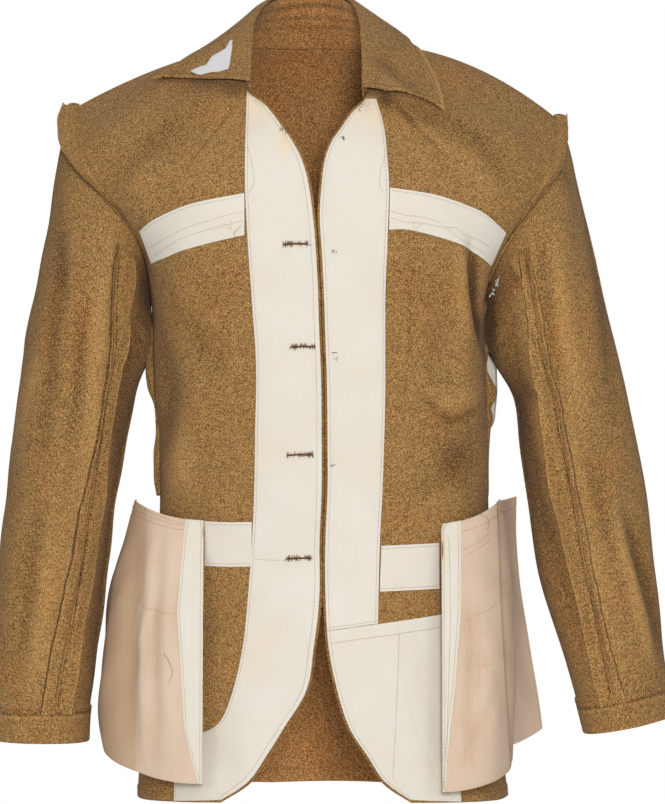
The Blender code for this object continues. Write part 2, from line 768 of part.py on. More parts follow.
def make_side_edge(side, name):
    top, bottom = SIDE_EDGE_Z
    heights = np.linspace(top, bottom, SIDE_EDGE_STEPS)
    roots = []
    directions = []
    for z in heights:
        at = np.interp(z, BODY[:, 0], np.arange(len(BODY)))
        sway = sum(size * math.sin(2 * math.pi * z / length) for length, size in SIDE_EDGE_WAVES)
        low = int(at)
        row = BODY[low] + (BODY[low + 1] - BODY[low]) * (at - low)
        roots.append((row[2] + side * (row[3] + EDGE_LIFT), 0, z))
        directions.append((side, sway / SIDE_ALLOWANCE, 0))
    directions = unit(np.array(directions, float))
    standing_strip("side_edge_" + name, np.array(roots, float), directions, SIDE_ALLOWANCE, KHAKI)


def main():
    for thing in list(bpy.data.objects):
        bpy.data.objects.remove(thing)
    grids = {"front_l": front_grid(-1), "front_r": front_grid(1), "back": back_grid()}
    normals = body_normals(grids)
    tree = sheet_tree(grids.values())
    sleeves = {}
    for side, name in ((-1, "l"), (1, "r")):
        grid, rises = sleeve_grid(side)
        centres = grid.mean(axis=1, keepdims=True)
        lie = grid_normals(grid, grid - centres, closed=True)
        share_armhole(side, normals, lie)
        sleeves[name] = (side, grid, rises, lie)
    seam, seam_normals = neck_seam(grids, normals)
    stand = stand_grid(seam)
    stand_normals = grid_normals(stand, from_axis(stand, NECK_MIDDLE))
    raised = inset(stand, ("first_row",)) + np.array((0, 0, SEAM_GAP))
    grid_wall("collar_stand", raised, stand_normals, -WOOL, 0, KHAKI)
    fall = fall_grid(tree)
    fall_normals = grid_normals(fall, np.array((0, 0, 1.0)))
    grid_wall("collar_fall", fall, fall_normals, -WOOL, 0, KHAKI)
    lay("collar_label", patch(fall[FALL_LYING:, :LABEL_COLUMNS], LABEL), TAPE, WHITE, (0, -0.3, 1))
    for name in ("front_l", "front_r"):
        cut = inset(grids[name], ("last_column", "last_row"))
        grid_wall(name, cut, normals[name], -WOOL, 0, KHAKI)
    cut = inset(grids["back"], ("first_column", "last_column", "last_row"))
    grid_wall("back", cut, normals["back"], -WOOL, 0, KHAKI)
    for name, (side, grid, rises, lie) in sleeves.items():
        make_sleeve(name, grid, rises, lie)
        make_armhole_edge(side, name, grid, lie)
        make_side_edge(side, name)
    forwards = (0, -1, 0)
    laid = (
        ("facing_l", "front_l", FACING_L, 1),
        ("facing_r", "front_r", FACING_R, 1),
        ("breast_stay_l", "front_l", BREAST_L, 0),
        ("breast_stay_r", "front_r", BREAST_R, 0),
        ("waist_stay_l", "front_l", WAIST_L, 0),
        ("waist_stay_r", "front_r", WAIST_R, 0),
        ("skirt_pocket_r", "front_r", SKIRT_POCKET, 1),
    )
    for name, panel, outline, first in laid:
        lay(name, patch(grids[panel], outline, first_column=first), COTTON, CREAM, forwards)
    half = grids["back"].shape[1] // 2
    for side, name, columns in ((-1, "l", slice(0, half)), (1, "r", slice(half, None))):
        sheet = patch(grids["back"][:, columns], UNDERARM, axis=0)
        lay("underarm_piece_" + name, sheet, COTTON, CREAM, (side, 0, 0))
    bag_l = bag_grid(BAG_L, tree)
    bag_r = bag_grid(BAG_R, tree)
    side_r = bag_grid(BAG_SIDE_R, tree, flared=True)
    bags = (("pocket_bag_l", bag_l, -1), ("pocket_bag_r", bag_r, 1), ("pocket_side_r", side_r, 1))
    for name, grid, way in bags:
        lie = grid_normals(grid, np.array((way, -1.0, 0)))
        grid_wall(name, grid, lie, -BAG_CLOTH, 0, BAG_CREAM)
    lay("pocket_strip_l", patch(bag_l, STRIP_L), COTTON, CREAM, forwards)
    lay("pocket_strip_r", patch(bag_r, STRIP_R), COTTON, CREAM, forwards)


main()
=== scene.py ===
import math

import bpy
import numpy as np
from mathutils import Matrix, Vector
from mathutils.bvhtree import BVHTree


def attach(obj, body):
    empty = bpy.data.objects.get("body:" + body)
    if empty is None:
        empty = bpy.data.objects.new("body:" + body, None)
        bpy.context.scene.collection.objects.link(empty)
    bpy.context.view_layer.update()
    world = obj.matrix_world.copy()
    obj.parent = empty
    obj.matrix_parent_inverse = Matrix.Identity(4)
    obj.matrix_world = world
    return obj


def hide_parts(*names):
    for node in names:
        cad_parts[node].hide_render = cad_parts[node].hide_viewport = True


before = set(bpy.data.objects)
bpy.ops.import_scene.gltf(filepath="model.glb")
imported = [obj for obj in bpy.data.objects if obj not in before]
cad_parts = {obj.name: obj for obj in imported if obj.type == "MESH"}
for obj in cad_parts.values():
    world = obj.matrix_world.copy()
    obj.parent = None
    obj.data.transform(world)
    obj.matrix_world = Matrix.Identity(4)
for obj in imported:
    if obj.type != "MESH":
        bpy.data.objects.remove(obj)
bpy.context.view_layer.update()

bl_info = {
    "name": "Inside-out serge tunic",
    "version": (1, 0, 0),
    "blender": (4, 5, 0),
    "location": "View3D > Sidebar > Tunic",
    "description": "Builds the cloth, sewing and studio of a serge tunic turned inside out",
    "category": "Add Mesh",
}

BODY_NAME = "root"

# Sizes are in millimetres until a mesh is made.
MM = 0.001
WOOL = 2.0
COTTON = 1.0
BAG_CLOTH = 1.8
SEAM_GAP = 0.3
LAY_GAP = 0.2
SQUARENESS = 2.5

# Body below the armpit, from the hem up. edge_l and edge_r are the two front edges.
# Columns: z_side, z_edge, middle, half_width, front, back, edge_l, edge_r.
BODY = np.array([
    (-684, -678, 5, 175, 122, 118, -88, 86),
    (-662, -660, 5, 173, 121, 116, -62, 60),
    (-638, -636, 5, 171, 119, 114, -45, 44),
    (-610, -609, 5, 168, 117, 111, -28, 27),
    (-575, -575, 5, 165, 115, 109, -8, 16),
    (-535, -535, 5, 162, 112, 106, -1, 8),
    (-490, -490, 5, 159, 109, 103, 4, 5.2),
    (-440, -440, 5, 156, 107, 101, 4, 5),
    (-390, -390, 5, 155, 108, 102, 6, 7),
    (-340, -340, 4, 156, 111, 104, 6, 7),
    (-290, -290, 2, 157, 115, 107, 5.5, 6.5),
    (-250, -250, 1, 158, 117, 109, 4, 5),
    (-215, -215, 0, 158, 118, 110, 3, 4),
], float)

# Armhole seams from the armpit up to the shoulder tip.
# Columns: x, y_front, y_back, z_front, z_back.
ARMHOLE_L = np.array([
    (-158, 0, 0, -215, -215),
    (-160, -24, 28, -190, -190),
    (-165, -42, 50, -168, -166),
    (-174, -55, 64, -150, -146),
    (-187, -62, 70, -132, -127),
    (-202, -62, 70, -115, -109),
    (-217, -55, 63, -98, -92),
    (-228, -43, 52, -80, -76),
    (-232, -28, 37, -62, -60),
    (-234, -12, 20, -45, -45),
    (-232, 4, 4, -31, -31),
], float)
ARMHOLE_R = np.array([
    (158, 0, 0, -215, -215),
    (162, -23, 28, -197, -195),
    (168, -41, 50, -181, -176),
    (176, -54, 64, -165, -157),
    (187, -62, 70, -147, -138),
    (200, -62, 70, -127, -119),
    (214, -55, 63, -107, -101),
    (225, -43, 52, -89, -85),
    (229, -28, 37, -72, -70),
    (231, -12, 20, -56, -56),
    (229, 4, 4, -42, -42),
], float)

# Front edge and neck seam, and the centre of the back, from the armpit's level up.
# Columns: x_l, y_l, z_l, x_r, y_r, z_r, y_back, z_back.
NECK = np.array([
    (3, -118, -215, 4, -118, -215, 110, -215),
    (1, -118, -175, 2, -118, -175, 111, -180),
    (-2, -117, -140, 0, -117, -140, 110, -150),
    (-6, -115, -110, 2, -115, -110, 108, -122),
    (-12, -112, -88, 5, -112, -88, 106, -96),
    (-20, -108, -72, 11.5, -108, -71, 103, -72),
    (-31, -102, -56, 20, -103, -58, 99, -48),
    (-46, -93, -36, 30, -96, -43, 94, -26),
    (-63, -82, -22, 43, -86, -29, 88, -5),
    (-74, -40, 8, 59, -42, 3, 82, 14),
    (-77, 4, 29, 68, 4, 29, 75, 32),
], float)
COLLAR_ROW = 8
NECK_AT = 0.62
NECK_MIDDLE = -5.0
SHOULDER_CROWN = {-1: 7.0, 1: 15.0}
BACK_RISE = 2.5

# Sleeves from the armpit's level down. tilt raises the outer side of a section.
# Columns: z, x, half_width, y, half_depth, tilt.
SLEEVE_L = np.array([
    (-252, -220, 58, 2, 62, 0),
    (-277, -223, 57.5, 1, 61, 0),
    (-307, -228.5, 54, 0, 59, 0),
    (-356, -237, 53, -3, 57, 0),
    (-408, -245, 51, -7, 55, 0),
    (-461, -251, 51, -11, 53, 0),
    (-508, -255, 49.5, -14, 50, 0),
    (-548, -259, 48, -17, 47, 0),
    (-592, -263, 46.5, -20, 45, 0),
    (-629, -264.5, 45.5, -22, 44, 1),
], float)
SLEEVE_R = np.array([
    (-252, 223, 60, 2, 62, 1),
    (-277, 230, 58.5, 1, 61, 2),
    (-307, 241, 54, 0, 59, 3),
    (-352, 247.5, 55.5, -3, 57, 4),
    (-403, 255, 55.5, -7, 55, 5),
    (-459, 262.5, 54, -11, 53, 6),
    (-508, 273, 51, -14, 50, 7),
    (-552, 281, 46, -17, 47, 8),
    (-582, 287, 43.5, -20, 45, 9),
    (-614, 294, 43, -22, 44, 9),
], float)
CAP_FULLNESS = 60.0
CAP_FADE = 6
FRONT_SEAM = {-1: 3, 1: 4}
HIND_SEAM = 4
DEGREES_A_STEP = 18.0

# Collar from the left front end round the back to the right one: roll line and lower edge.
# Columns: roll_x, roll_y, roll_z, edge_x, edge_y, edge_z.
COLLAR = np.array([
    (-64, -85, -16, -152, -26, -12),
    (-63, -46, 24, -126, -16, 15),
    (-60, -4, 52, -102, 20, 26),
    (-45, 40, 74, -74, 66, 24),
    (-6, 60, 84, -6, 98, 24),
    (28, 42, 75, 62, 68, 24),
    (40, -2, 52, 86, 22, 38),
    (43, -46, 16, 104, -30, -20),
    (43, -89, -23, 111, -62, -49),
], float)
ROLL_WIDTH = 0.3
ROLL_HEIGHT = 10.0
FALL_RISE = 1.1
FALL_CLEARANCE = 3.0
CHEST_MIDDLE = np.array((0, 0, -200.0))

# Pocket bags hanging outside the skirt, from the mouth down.
# Columns: z_front, z_side, x_front, y_front, x_side, y_side.
BAG_L = np.array([
    (-420, -403, -105, -85, -174, 2),
    (-452, -440, -105, -97, -184, 4),
    (-490, -485, -105, -105, -197, 6),
    (-545, -545, -105, -111, -203, 8),
    (-605, -600, -105, -117, -207, 10),
    (-660, -638, -105, -121, -204, 12),
], float)
BAG_R = np.array([
    (-423, -402, 114, -85, 172, -22),
    (-455, -440, 114, -98, 177, -22),
    (-495, -485, 114, -107, 182, -22),
    (-550, -545, 114, -114, 185, -20),
    (-610, -605, 114, -120, 186, -16),
    (-667, -650, 114, -125, 185, -12),
], float)
BAG_SIDE_R = np.array([
    (-404, -401, 169.4, -32, 190, 20),
    (-440, -438, 174.4, -32, 191, 22),
    (-485, -482, 179.4, -32, 194, 26),
    (-540, -536, 181.6, -30, 202, 30),
    (-590, -584, 182.4, -26, 210, 34),
    (-636, -624, 181.6, -22, 215, 38),
], float)
BAG_FULLNESS = 2.4
BAG_CLEARANCE = 0.6
SKIRT_MIDDLE = np.array((0, 0, -500.0))

# Soft folds: place, half length and direction on the front view, half width, depth outwards.
# Columns: face, x, z, reach, lean, width, depth.
FOLDS = (
    (-1, 141, -275, 60, 4, 13, 7),
    (-1, 116, -262, 55, 2, 12, -5),
    (-1, -118, -300, 70, -6, 16, 4),
    (-1, -140, -240, 40, 10, 14, -4),
    (-1, -62, -640, 80, -8, 18, 4),
    (1, -104, -610, 130, -8, 24, 9),
    (1, -48, -630, 120, -3, 22, -6),
    (1, 18, -600, 140, 2, 24, 7),
    (1, 74, -625, 120, 6, 24, -6),
    (1, 122, -600, 130, 9, 22, 8),
    (1, -118, -180, 90, 22, 18, 6),
    (1, 118, -185, 90, -22, 18, 6),
    (1, -30, -330, 110, 30, 20, -4),
    (1, 52, -350, 110, -20, 20, 4),
)
FOLD_FADE = 45.0
NECK_TOP = len(NECK) - 1

# How finely each sheet is drawn: points across and rows along.
FRONT_ACROSS = 92
BACK_ACROSS = 56
SKIRT_ROWS = 170
YOKE_ROWS = 104
CAP_ROWS = 40
ARM_ROWS = 166
TOP_ACROSS = 80
UNDER_ACROSS = 46
COLLAR_STATIONS = 121
FALL_DOWN = 34
BAG_ROWS = 90
BAG_ACROSS = 64

# Turned-up cuffs and hem, and how much of a front edge shows beside the cotton.
CUFF_TURN = 34.0
CUFF_RISE = 1.6
HEM_TURN = 11.0
HEM_RISE = 0.9
EDGE_SHOWN = 2.3

# Creases on the front view: face (-1 front, 1 back), half width, depth outwards, line (x, z). Their troughs
# are painted darker as shade, their ridges paler as highlight and rubbing.
BODY_CREASES = (
    (-1, 2.0, -1.1, ((-75, -36), (-113, -86))),
    (-1, 1.8, -0.9, ((-74, -46), (-106, -92))),
    (-1, 4.5, 0.9, ((-75, -41), (-109, -89))),
    (-1, 2.2, -1.6, ((71, -34), (122, -89))),
    (-1, 5.0, 1.1, ((78, -33), (128, -85))),
    (-1, 2.6, -2.0, ((77, -41), (94, -56))),
    (-1, 5.0, -7.0, ((141, -164), (143, -202), (148, -236), (155, -262))),
    (-1, 6.5, 4.6, ((132, -160), (133, -202), (136, -230), (143, -252))),
    (-1, 9.0, 2.6, ((153, -186), (155, -214), (158, -236))),
    (-1, 2.0, -2.0, ((97, -295), (113, -294), (130, -295))),
    (-1, 3.0, 1.5, ((99, -299), (113, -298), (128, -299))),
    (-1, 4.2, -3.0, ((96, -302), (110, -318), (122, -328), (136, -325), (156, -311))),
    (-1, 8.0, 2.6, ((108, -308), (124, -314), (150, -303))),
    (-1, 3.0, -1.0, ((86, -164), (86, -226), (87, -294))),
    (-1, 2.6, -1.0, ((110, -240), (106, -263), (102, -294))),
    (-1, 16.0, -2.6, ((112, -346), (134, -372), (128, -402))),
    (-1, 2.0, -0.9, ((-117, -309), (-91, -302))),
    (-1, 5.0, -0.9, ((-88, -230), (-90, -300))),
    (-1, 11.0, -2.2, ((-152, -192), (-114, -232), (-97, -292))),
    (-1, 13.0, 2.0, ((-138, -196), (-104, -246))),
    (-1, 9.0, -2.6, ((-147, -232), (-139, -300), (-146, -362))),
    (-1, 12.0, 2.4, ((-126, -328), (-131, -402))),
    (-1, 13.0, -2.0, ((152, -334), (122, -380), (82, -402))),
    (-1, 15.0, 1.7, ((150, -362), (102, -412))),
    (-1, 13.0, -1.7, ((-192, -112), (-142, -62), (-102, -32))),
    (-1, 12.0, 1.4, ((-176, -118), (-150, -92))),
    (-1, 13.0, -1.8, ((184, -112), (142, -62), (104, -36))),
    (-1, 11.0, 1.5, ((168, -128), (140, -84), (112, -70))),
    (1, 11.0, -2.8, ((-142, -204), (-92, -252), (-58, -334))),
    (1, 13.0, 2.6, ((-122, -202), (-72, -272))),
    (1, 12.0, -2.6, ((146, -198), (104, -262), (84, -342))),
    (1, 14.0, 2.4, ((128, -206), (66, -262))),
    (1, 15.0, -2.4, ((-96, -388), (-4, -402), (86, -384))),
    (1, 12.0, 2.0, ((-62, -424), (44, -416))),
    (1, 10.0, -2.0, ((18, -58), (58, -138), (72, -212))),
    (1, 9.0, -1.6, ((-34, -70), (-60, -150))),
)
SLEEVE_CREASES = {
    -1: (
        (-1, 2.2, -2.6, ((-187, -157), (-192, -197), (-194, -243), (-198, -290), (-204, -346), (-206, -384))),
        (-1, 1.8, -1.6, ((-206, -384), (-211, -402), (-222, -470), (-234, -530), (-245, -588))),
        (-1, 13.0, 3.4, ((-190, -170), (-197, -270), (-206, -380), (-222, -470), (-244, -588))),
        (-1, 10.0, -3.4, (
            (-160, -174), (-161, -200), (-168, -226), (-171, -249), (-179, -284), (-185, -328), (-190, -408),
            (-199, -478), (-216, -558), (-221, -581))),
        (-1, 7.0, -2.6, ((-215, -196), (-220, -243), (-223, -295), (-232, -356))),
        (-1, 8.0, 2.2, ((-203, -206), (-206, -262), (-211, -318))),
        (-1, 8.0, -2.4, ((-240, -130), (-246, -242), (-259, -375))),
        (-1, 9.0, 2.6, ((-262, -262), (-277, -309), (-287, -352))),
        (-1, 6.0, -2.0, ((-244, -150), (-238, -179), (-236, -220))),
        (-1, 8.0, -2.0, ((-262, -400), (-268, -470), (-280, -560))),
        (-1, 9.0, 2.2, ((-246, -420), (-256, -500), (-268, -590))),
        (-1, 7.0, -2.0, ((-168, -260), (-180, -275), (-196, -278))),
        (1, 8.0, -2.8, ((-224, -130), (-236, -250), (-252, -372))),
        (1, 10.0, 2.4, ((-244, -190), (-262, -330))),
        (1, 7.0, -2.4, ((-204, -318), (-240, -342), (-274, -338))),
        (1, 9.0, 2.0, ((-200, -300), (-236, -318))),
        (1, 8.0, -2.2, ((-230, -420), (-252, -560))),
    ),
    1: (
        (-1, 2.2, -2.6, ((192, -165), (198, -187), (204, -251), (219, -329), (234, -384), (245, -440))),
        (-1, 2.2, -2.4, ((245, -440), (259, -505), (271, -559), (276, -580))),
        (-1, 13.0, 3.4, ((196, -180), (206, -260), (222, -340), (245, -440), (275, -580))),
        (-1, 10.0, -3.2, (
            (176, -200), (184, -257), (194, -328), (203, -393), (217, -437), (232, -487), (246, -534),
            (253, -564))),
        (-1, 6.0, 4.0, ((276, -405), (296, -482), (315, -560))),
        (-1, 7.0, -4.6, ((289, -412), (308, -483), (327, -552))),
        (-1, 7.0, -2.6, ((208, -155), (214, -234), (227, -328))),
        (-1, 9.0, 2.4, ((222, -150), (232, -242), (246, -330))),
        (-1, 8.0, -2.6, ((254, -100), (268, -214), (279, -328))),
        (-1, 7.0, -4.0, ((224, -92), (236, -104))),
        (-1, 3.6, -2.8, ((176, -187), (187, -200), (200, -216))),
        (-1, 3.4, -2.4, ((185, -168), (193, -184), (199, -202))),
        (-1, 4.5, 2.2, ((182, -182), (191, -194), (201, -210))),
        (-1, 7.0, -2.0, ((190, -292), (204, -306), (220, -306))),
        (-1, 9.0, -2.0, ((258, -360), (266, -410), (272, -450))),
        (1, 8.0, -2.8, ((226, -136), (246, -250), (266, -370))),
        (1, 10.0, 2.4, ((256, -180), (282, -330))),
        (1, 7.0, -2.4, ((212, -322), (252, -346), (292, -338))),
        (1, 9.0, 2.0, ((208, -300), (246, -318))),
        (1, 8.0, -2.2, ((248, -420), (280, -560))),
    ),
}
# Front sleeve seam and its pressed-open allowances. Columns: z, shift of the seam, inner width, outer width.
SLEEVE_FLAPS = {
    -1: np.array([
        (-160, 11, 19, 2.5), (-195, 12, 23, 3), (-222, 10, 17, 3), (-250, 8, 15, 3.5), (-285, 4, 11, 3.5),
        (-330, 1, 10, 4), (-370, -1, 12, 5), (-405, -2, 15, 9), (-470, 0, 16, 12.5), (-530, 5, 14, 13),
        (-590, 9, 15, 13),
    ], float),
    1: np.array([
        (-168, 3, 7, 4), (-200, 4, 8, 4), (-255, 4, 10, 4), (-310, -2, 16, 4), (-384, 1, 20, 5),
        (-440, 3, 18, 6), (-505, 3, 15, 6), (-559, 2, 13, 8), (-590, 1, 13, 10),
    ], float),
}
# Raw edges down the side seams: how far they reach out. Columns: z, reach.
SIDE_EDGES = {
    -1: np.array([
        (-236, 0.6), (-252, 1.6), (-266, 4.6), (-284, 6.4), (-298, 5.2), (-314, 0.9), (-340, 0.7),
        (-360, 3.6), (-384, 4.2), (-402, 2.0),
    ], float),
    1: np.array([
        (-216, 0.8), (-228, 3.2), (-242, 4.6), (-256, 2.4), (-270, 0.8), (-281, 0.6), (-292, 5.5),
        (-300, 8.4), (-308, 7.4), (-316, 3.4), (-325, 4.6), (-338, 2.6), (-360, 1.4), (-402, 1.0),
    ], float),
}
# Underarm pieces: how far their front edges stand out. Columns: z, reach.
UNDERARM_EDGES = {
    -1: np.array([
        (-236, 0.5), (-248, 2.6), (-262, 5.6), (-276, 7.6), (-292, 6.4), (-310, 2.0), (-338, 0.5),
    ], float),
    1: np.array([
        (-236, 0.5), (-254, 3.0), (-266, 8.0), (-276, 10.0), (-300, 10.4), (-318, 8.6), (-330, 7.0),
        (-338, 3.0),
    ], float),
}
# Where the under sleeve rests against the body below the armpit: depth, level and half height.
ARMPIT_REST = {-1: (6.0, -250.0, 24.0), 1: (6.5, -244.0, 22.0)}
# Creases of the pocket bags: face, half width, depth, line.
BAG_CREASES = {
    "pocket_bag_l": (
        (-1, 5.0, 2.6, ((-153, -404), (-152, -450), (-155, -495), (-163, -530), (-160, -640))),
        (-1, 10.0, -4.2, ((-170, -410), (-170, -470), (-176, -530), (-176, -640))),
        (-1, 7.0, -2.4, ((-146, -420), (-150, -500), (-148, -600), (-152, -648))),
        (-1, 8.0, 2.2, ((-134, -430), (-140, -520), (-138, -640))),
        (-1, 1.4, -0.9, ((-188, -489), (-165, -496), (-158, -501), (-130, -506))),
        (-1, 1.2, -0.6, ((-170, -413), (-154, -419), (-116, -428))),
    ),
    "pocket_bag_r": (
        (-1, 1.4, -0.9, ((134, -447), (149, -440), (164, -429))),
        (-1, 1.4, -0.9, ((135, -453), (149, -446), (164, -435))),
        (-1, 1.4, -0.9, ((135, -512), (149, -505), (158, -502), (170, -494))),
        (-1, 2.4, 1.5, ((132, -561), (154, -558), (172, -552))),
        (-1, 1.6, -1.1, ((132, -557), (154, -554), (171, -548))),
        (-1, 2.2, 1.2, ((136, -569), (150, -567))),
        (-1, 8.0, -2.6, ((140, -470), (143, -560), (138, -650))),
        (-1, 9.0, 2.4, ((157, -520), (160, -600), (158, -655))),
        (-1, 5.0, -1.4, ((130, -650), (150, -610), (166, -570))),
    ),
    "pocket_side_r": (
        (-1, 1.6, -1.0, ((176, -486), (198, -478))),
        (-1, 1.8, 1.0, ((175, -544), (198, -540))),
    ),
}
# Swells all over a cloth: length and height of each wave.
RUMPLE_WAVES = ((150, 1.2), (96, 1.0), (64, 0.75), (41, 0.4))
CALM_WAVES = ((120, 0.5), (60, 0.3), (33, 0.16))
LIMP_WAVES = ((110, 1.1), (70, 0.8), (38, 0.4))

# Pieces sewn along a front edge: outer edge, and the level of the front edge beside it.
# Columns: x, z, edge_z.
FACING_L = np.array([
    (-65, -21, -21.5), (-66, -60, -70), (-66, -121, -135), (-60, -217, -217), (-56, -277, -277),
    (-57, -336, -336), (-59, -420, -420), (-65, -505, -505), (-70, -544, -544), (-79, -581, -581),
    (-89, -604, -615), (-103, -614, -640), (-122, -618, -655), (-131, -632, -664), (-132, -679, -675),
], float)
FACING_R = np.array([
    (54, -31, -31), (61, -58, -66), (64, -89, -95), (65.5, -115, -125), (64, -165, -170),
    (62, -217, -217), (62, -309, -309), (60, -382, -382), (57, -446, -446), (55.6, -514.2, -520.6),
], float)
SKIRT_POCKET = np.array([
    (128, -505, -521), (129, -560, -562), (130, -610, -608), (131, -650, -644), (132, -679, -675),
], float)
# Facings and skirt pocket: side, outline, points across and down, rows of stitches as in lay().
FACINGS = (
    ("facing_l", -1, FACING_L, 44, 230, ((0, 0.93, 0.45), (0, 0.05, 0.3))),
    ("facing_r", 1, FACING_R, 40, 180, ((0, 0.95, 0.4), (0, 0.06, 0.3))),
    ("skirt_pocket_r", 1, SKIRT_POCKET, 66, 80, ((1, 0.075, 0.45), (0, 0.46, 0.4))),
)
FACING_SEED = 72
LAID_RIM = 3
# Stays: their upper and lower edges from the facing outwards.
# Columns: x_top, z_top, x_bottom, z_bottom.
STAYS = {
    "breast_stay_l": np.array([
        (-66.8, -119.5, -66.8, -158), (-97, -125, -95, -164), (-121, -130.5, -123, -171),
        (-150, -142, -140, -177), (-165, -152, -154.5, -181.5),
    ], float),
    "breast_stay_r": np.array([
        (66.4, -114.5, 65.6, -153), (107, -120.5, 87, -153.5), (142, -131.5, 127, -164),
        (157, -139, 147, -174), (174.5, -153.5, 161, -184),
    ], float),
    "waist_stay_l": np.array([
        (-60.2, -421, -61, -462), (-82, -421.5, -82, -462.5), (-104, -421, -104, -462),
    ], float),
    "waist_stay_r": np.array([
        (58.6, -443, 57.2, -485), (85, -442, 85, -484), (112, -441, 112, -483),
    ], float),
}
# Points along each kind of stay, and its rows of stitches as in lay().
STAY_ROWS = {
    "breast_stay": (70, ((0, 0.42, 0.35), (0, 0.62, 0.35), (0, 0.08, 0.3))),
    "waist_stay": (34, ((0, 0.08, 0.3), (0, 0.92, 0.3))),
}
STAY_ACROSS = 26
STAY_SEED = 75
# Strips down the front of the bags: their edge away from the front. Columns: x, z.
STRIP_EDGES = {
    "pocket_strip_l": ((-118, -405), (-123, -430), (-129, -505), (-126, -545), (-122, -610), (-108, -665)),
    "pocket_strip_r": ((132, -400), (132, -430), (131, -505), (126, -570), (120, -625), (115.5, -680)),
}
# Soiled patches at the neck, and patches on each bag: x, z, width, height.
NECK_SOIL = ((-52.0, -30.0, 16.0, 26.0), (46.0, -34.0, 18.0, 22.0), (-30.0, -70.0, 8.0, 16.0))
# How much each bag is darkened at its patches: painted shade on the left bag's far side, which turns away,
# and darker patches on the right bag; the right side layer's amount is below 0, painted light where it turns
# from the lamps.
BAG_SHADE_AND_SOIL = {"pocket_bag_l": 0.35, "pocket_bag_r": 0.1, "pocket_side_r": -0.9}
BAG_SHADE_AND_SOIL_PLACE = {
    "pocket_bag_l": ((-196.0, -470.0, 24.0, 90.0), (-205.0, -600.0, 30.0, 90.0)),
    "pocket_bag_r": ((150.0, -590.0, 24.0, 70.0), (168.0, -480.0, 14.0, 60.0)),
    "pocket_side_r": ((190.0, -600.0, 30.0, 120.0),),
}
# Painted shade in the slits where a strip gapes at its top: x, z, width, height.
STRIP_SLIT_SHADE = {
    "pocket_strip_l": ((-104.5, -431.0, 2.6, 12.0),),
    "pocket_strip_r": ((114.5, -447.0, 1.8, 14.0),),
}
# Serge in the hollow of an armpit and under the collar fall: x, z, width, height and depth of its shade.
HOLLOWS = {
    -1: ((-162.0, -196.0, 6.0, 34.0, 1.8), (-75.0, -22.0, 20.0, 7.0, 1.2), (-110.0, -15.0, 24.0, 6.0, 0.9)),
    1: ((163.0, -240.0, 6.0, 36.0, 2.2), (145.0, -214.0, 4.5, 42.0, 1.1), (149.0, -241.0, 5.0, 11.0, 1.4),
        (63.0, -29.0, 9.0, 10.0, 2.2), (85.0, -39.0, 16.0, 8.0, 1.1), (104.0, -49.0, 12.0, 7.0, 0.8)),
}
# Edge of the bag's upper layer, with its lower layer showing past it. Columns: x, z.
# Then its step, the painted shadow line beside it (depth, place, width) and the painted shade past it.
BAG_LAYER = {"pocket_bag_r": ((166, -400), (168, -490), (172, -565), (177, -640), (178, -670))}
LAYER_RISE = 1.2
LAYER_STEP = 1.5
LAYER_SHADOW_LINE = (1.5, 1.8, 1.4)
LAYER_SHADE = 0.3
# Where a bag turns away behind a fold: the fold's line (x, z) and how much darker the cloth is painted there,
# as shade of the part that turns away.
BAG_TURN = {
    "pocket_bag_l": (((-158, -400), (-157, -450), (-159, -491), (-164, -497), (-169, -528), (-166, -610),
                      (-165, -660)), 0.75),
}
TURN_WIDTH = 4.0
# Torn label on the collar: its lower and upper edge. Columns: x, z_low, z_high.
LABEL = np.array([
    (-118, -2.7, -2.1), (-111, -5.2, 2.3), (-104, -4.3, 5), (-98.5, -3.3, 12.7),
    (-92, -3.3, 16.4), (-86.3, -1.4, 20.2), (-82.5, 0.4, 27.7), (-80, 20, 28.6),
], float)
# Creases of the collar fall, as on the body.
FALL_CREASES = (
    (-1, 6.0, 1.6, ((58, -6), (76, -20), (92, -36))),
    (-1, 7.0, -1.5, ((52, 20), (70, 0), (96, -24))),
    (-1, 8.0, 1.2, ((-120, -4), (-100, 8), (-84, 26))),
    (1, 10.0, 1.4, ((-50, 60), (-6, 56), (40, 62))),
)

SIDES = ((-1, "l"), (1, "r"))
# Slot of each kind of cloth.
SLOTS = {"wool": "wool", "cotton": "cotton", "bag": "bag_cotton", "label": "label"}
# Collar: rows up the stand, where its right side falls into shade (x, width, depth), the fall's stitch.
STAND_UP = 30
STAND_SHADE = (24.0, 5.0, 1.5)
FALL_STITCH = 5.0
# Cuff: rows on its turn-up, and how dark or pale the rows at its top edge are: a painted shadow line just
# above the edge, a painted highlight on it.
CUFF_ROWS = 14
CUFF_LINE = (-0.5, -1.3, 0.7)
# Hem of a bag, and from its stitch row to a second one.
BAG_HEM = 11.0
BAG_ROW_GAP = 4.5
# Sizes in millimetres at which the grains of the cloths are drawn.
TUFT_SHOWN = 0.56
NAP_SHOWN = 1.3
TWILL_SHOWN = 2.1
WEAVE_SHOWN = 1.3
# Scales at which a wave texture has bands of a millimetre, straight and diagonal.
BAND = 314
DIAGONAL_BAND = 444
# Bends sharper than this show as an edge. A sheet is moved clear of another in so many passes.
SHARP_ANGLE = math.radians(40)
CLEAR_TRIES = 3
# Where a line of sight from the front starts, and which way it goes.
IN_FRONT = 400.0
BESIDE = 100.0
BACKWARDS = Vector((0, 1, 0))
# A direction in which no thread runs.
THREAD_UP = np.array((0.27, 0.53, 0.8))
# A stitch: shares of its length, and how far each place lies above the cloth in thread radii.
STITCH_PLACES = np.array((0, 0.2, 0.5, 0.8, 1))
STITCH_LIFT = np.array((-0.6, 0.5, 0.8, 0.5, -0.6))
# How a row of stitches draws cloth in.
DIP_DEPTH = 0.5
DIP_WIDTH = 1.6
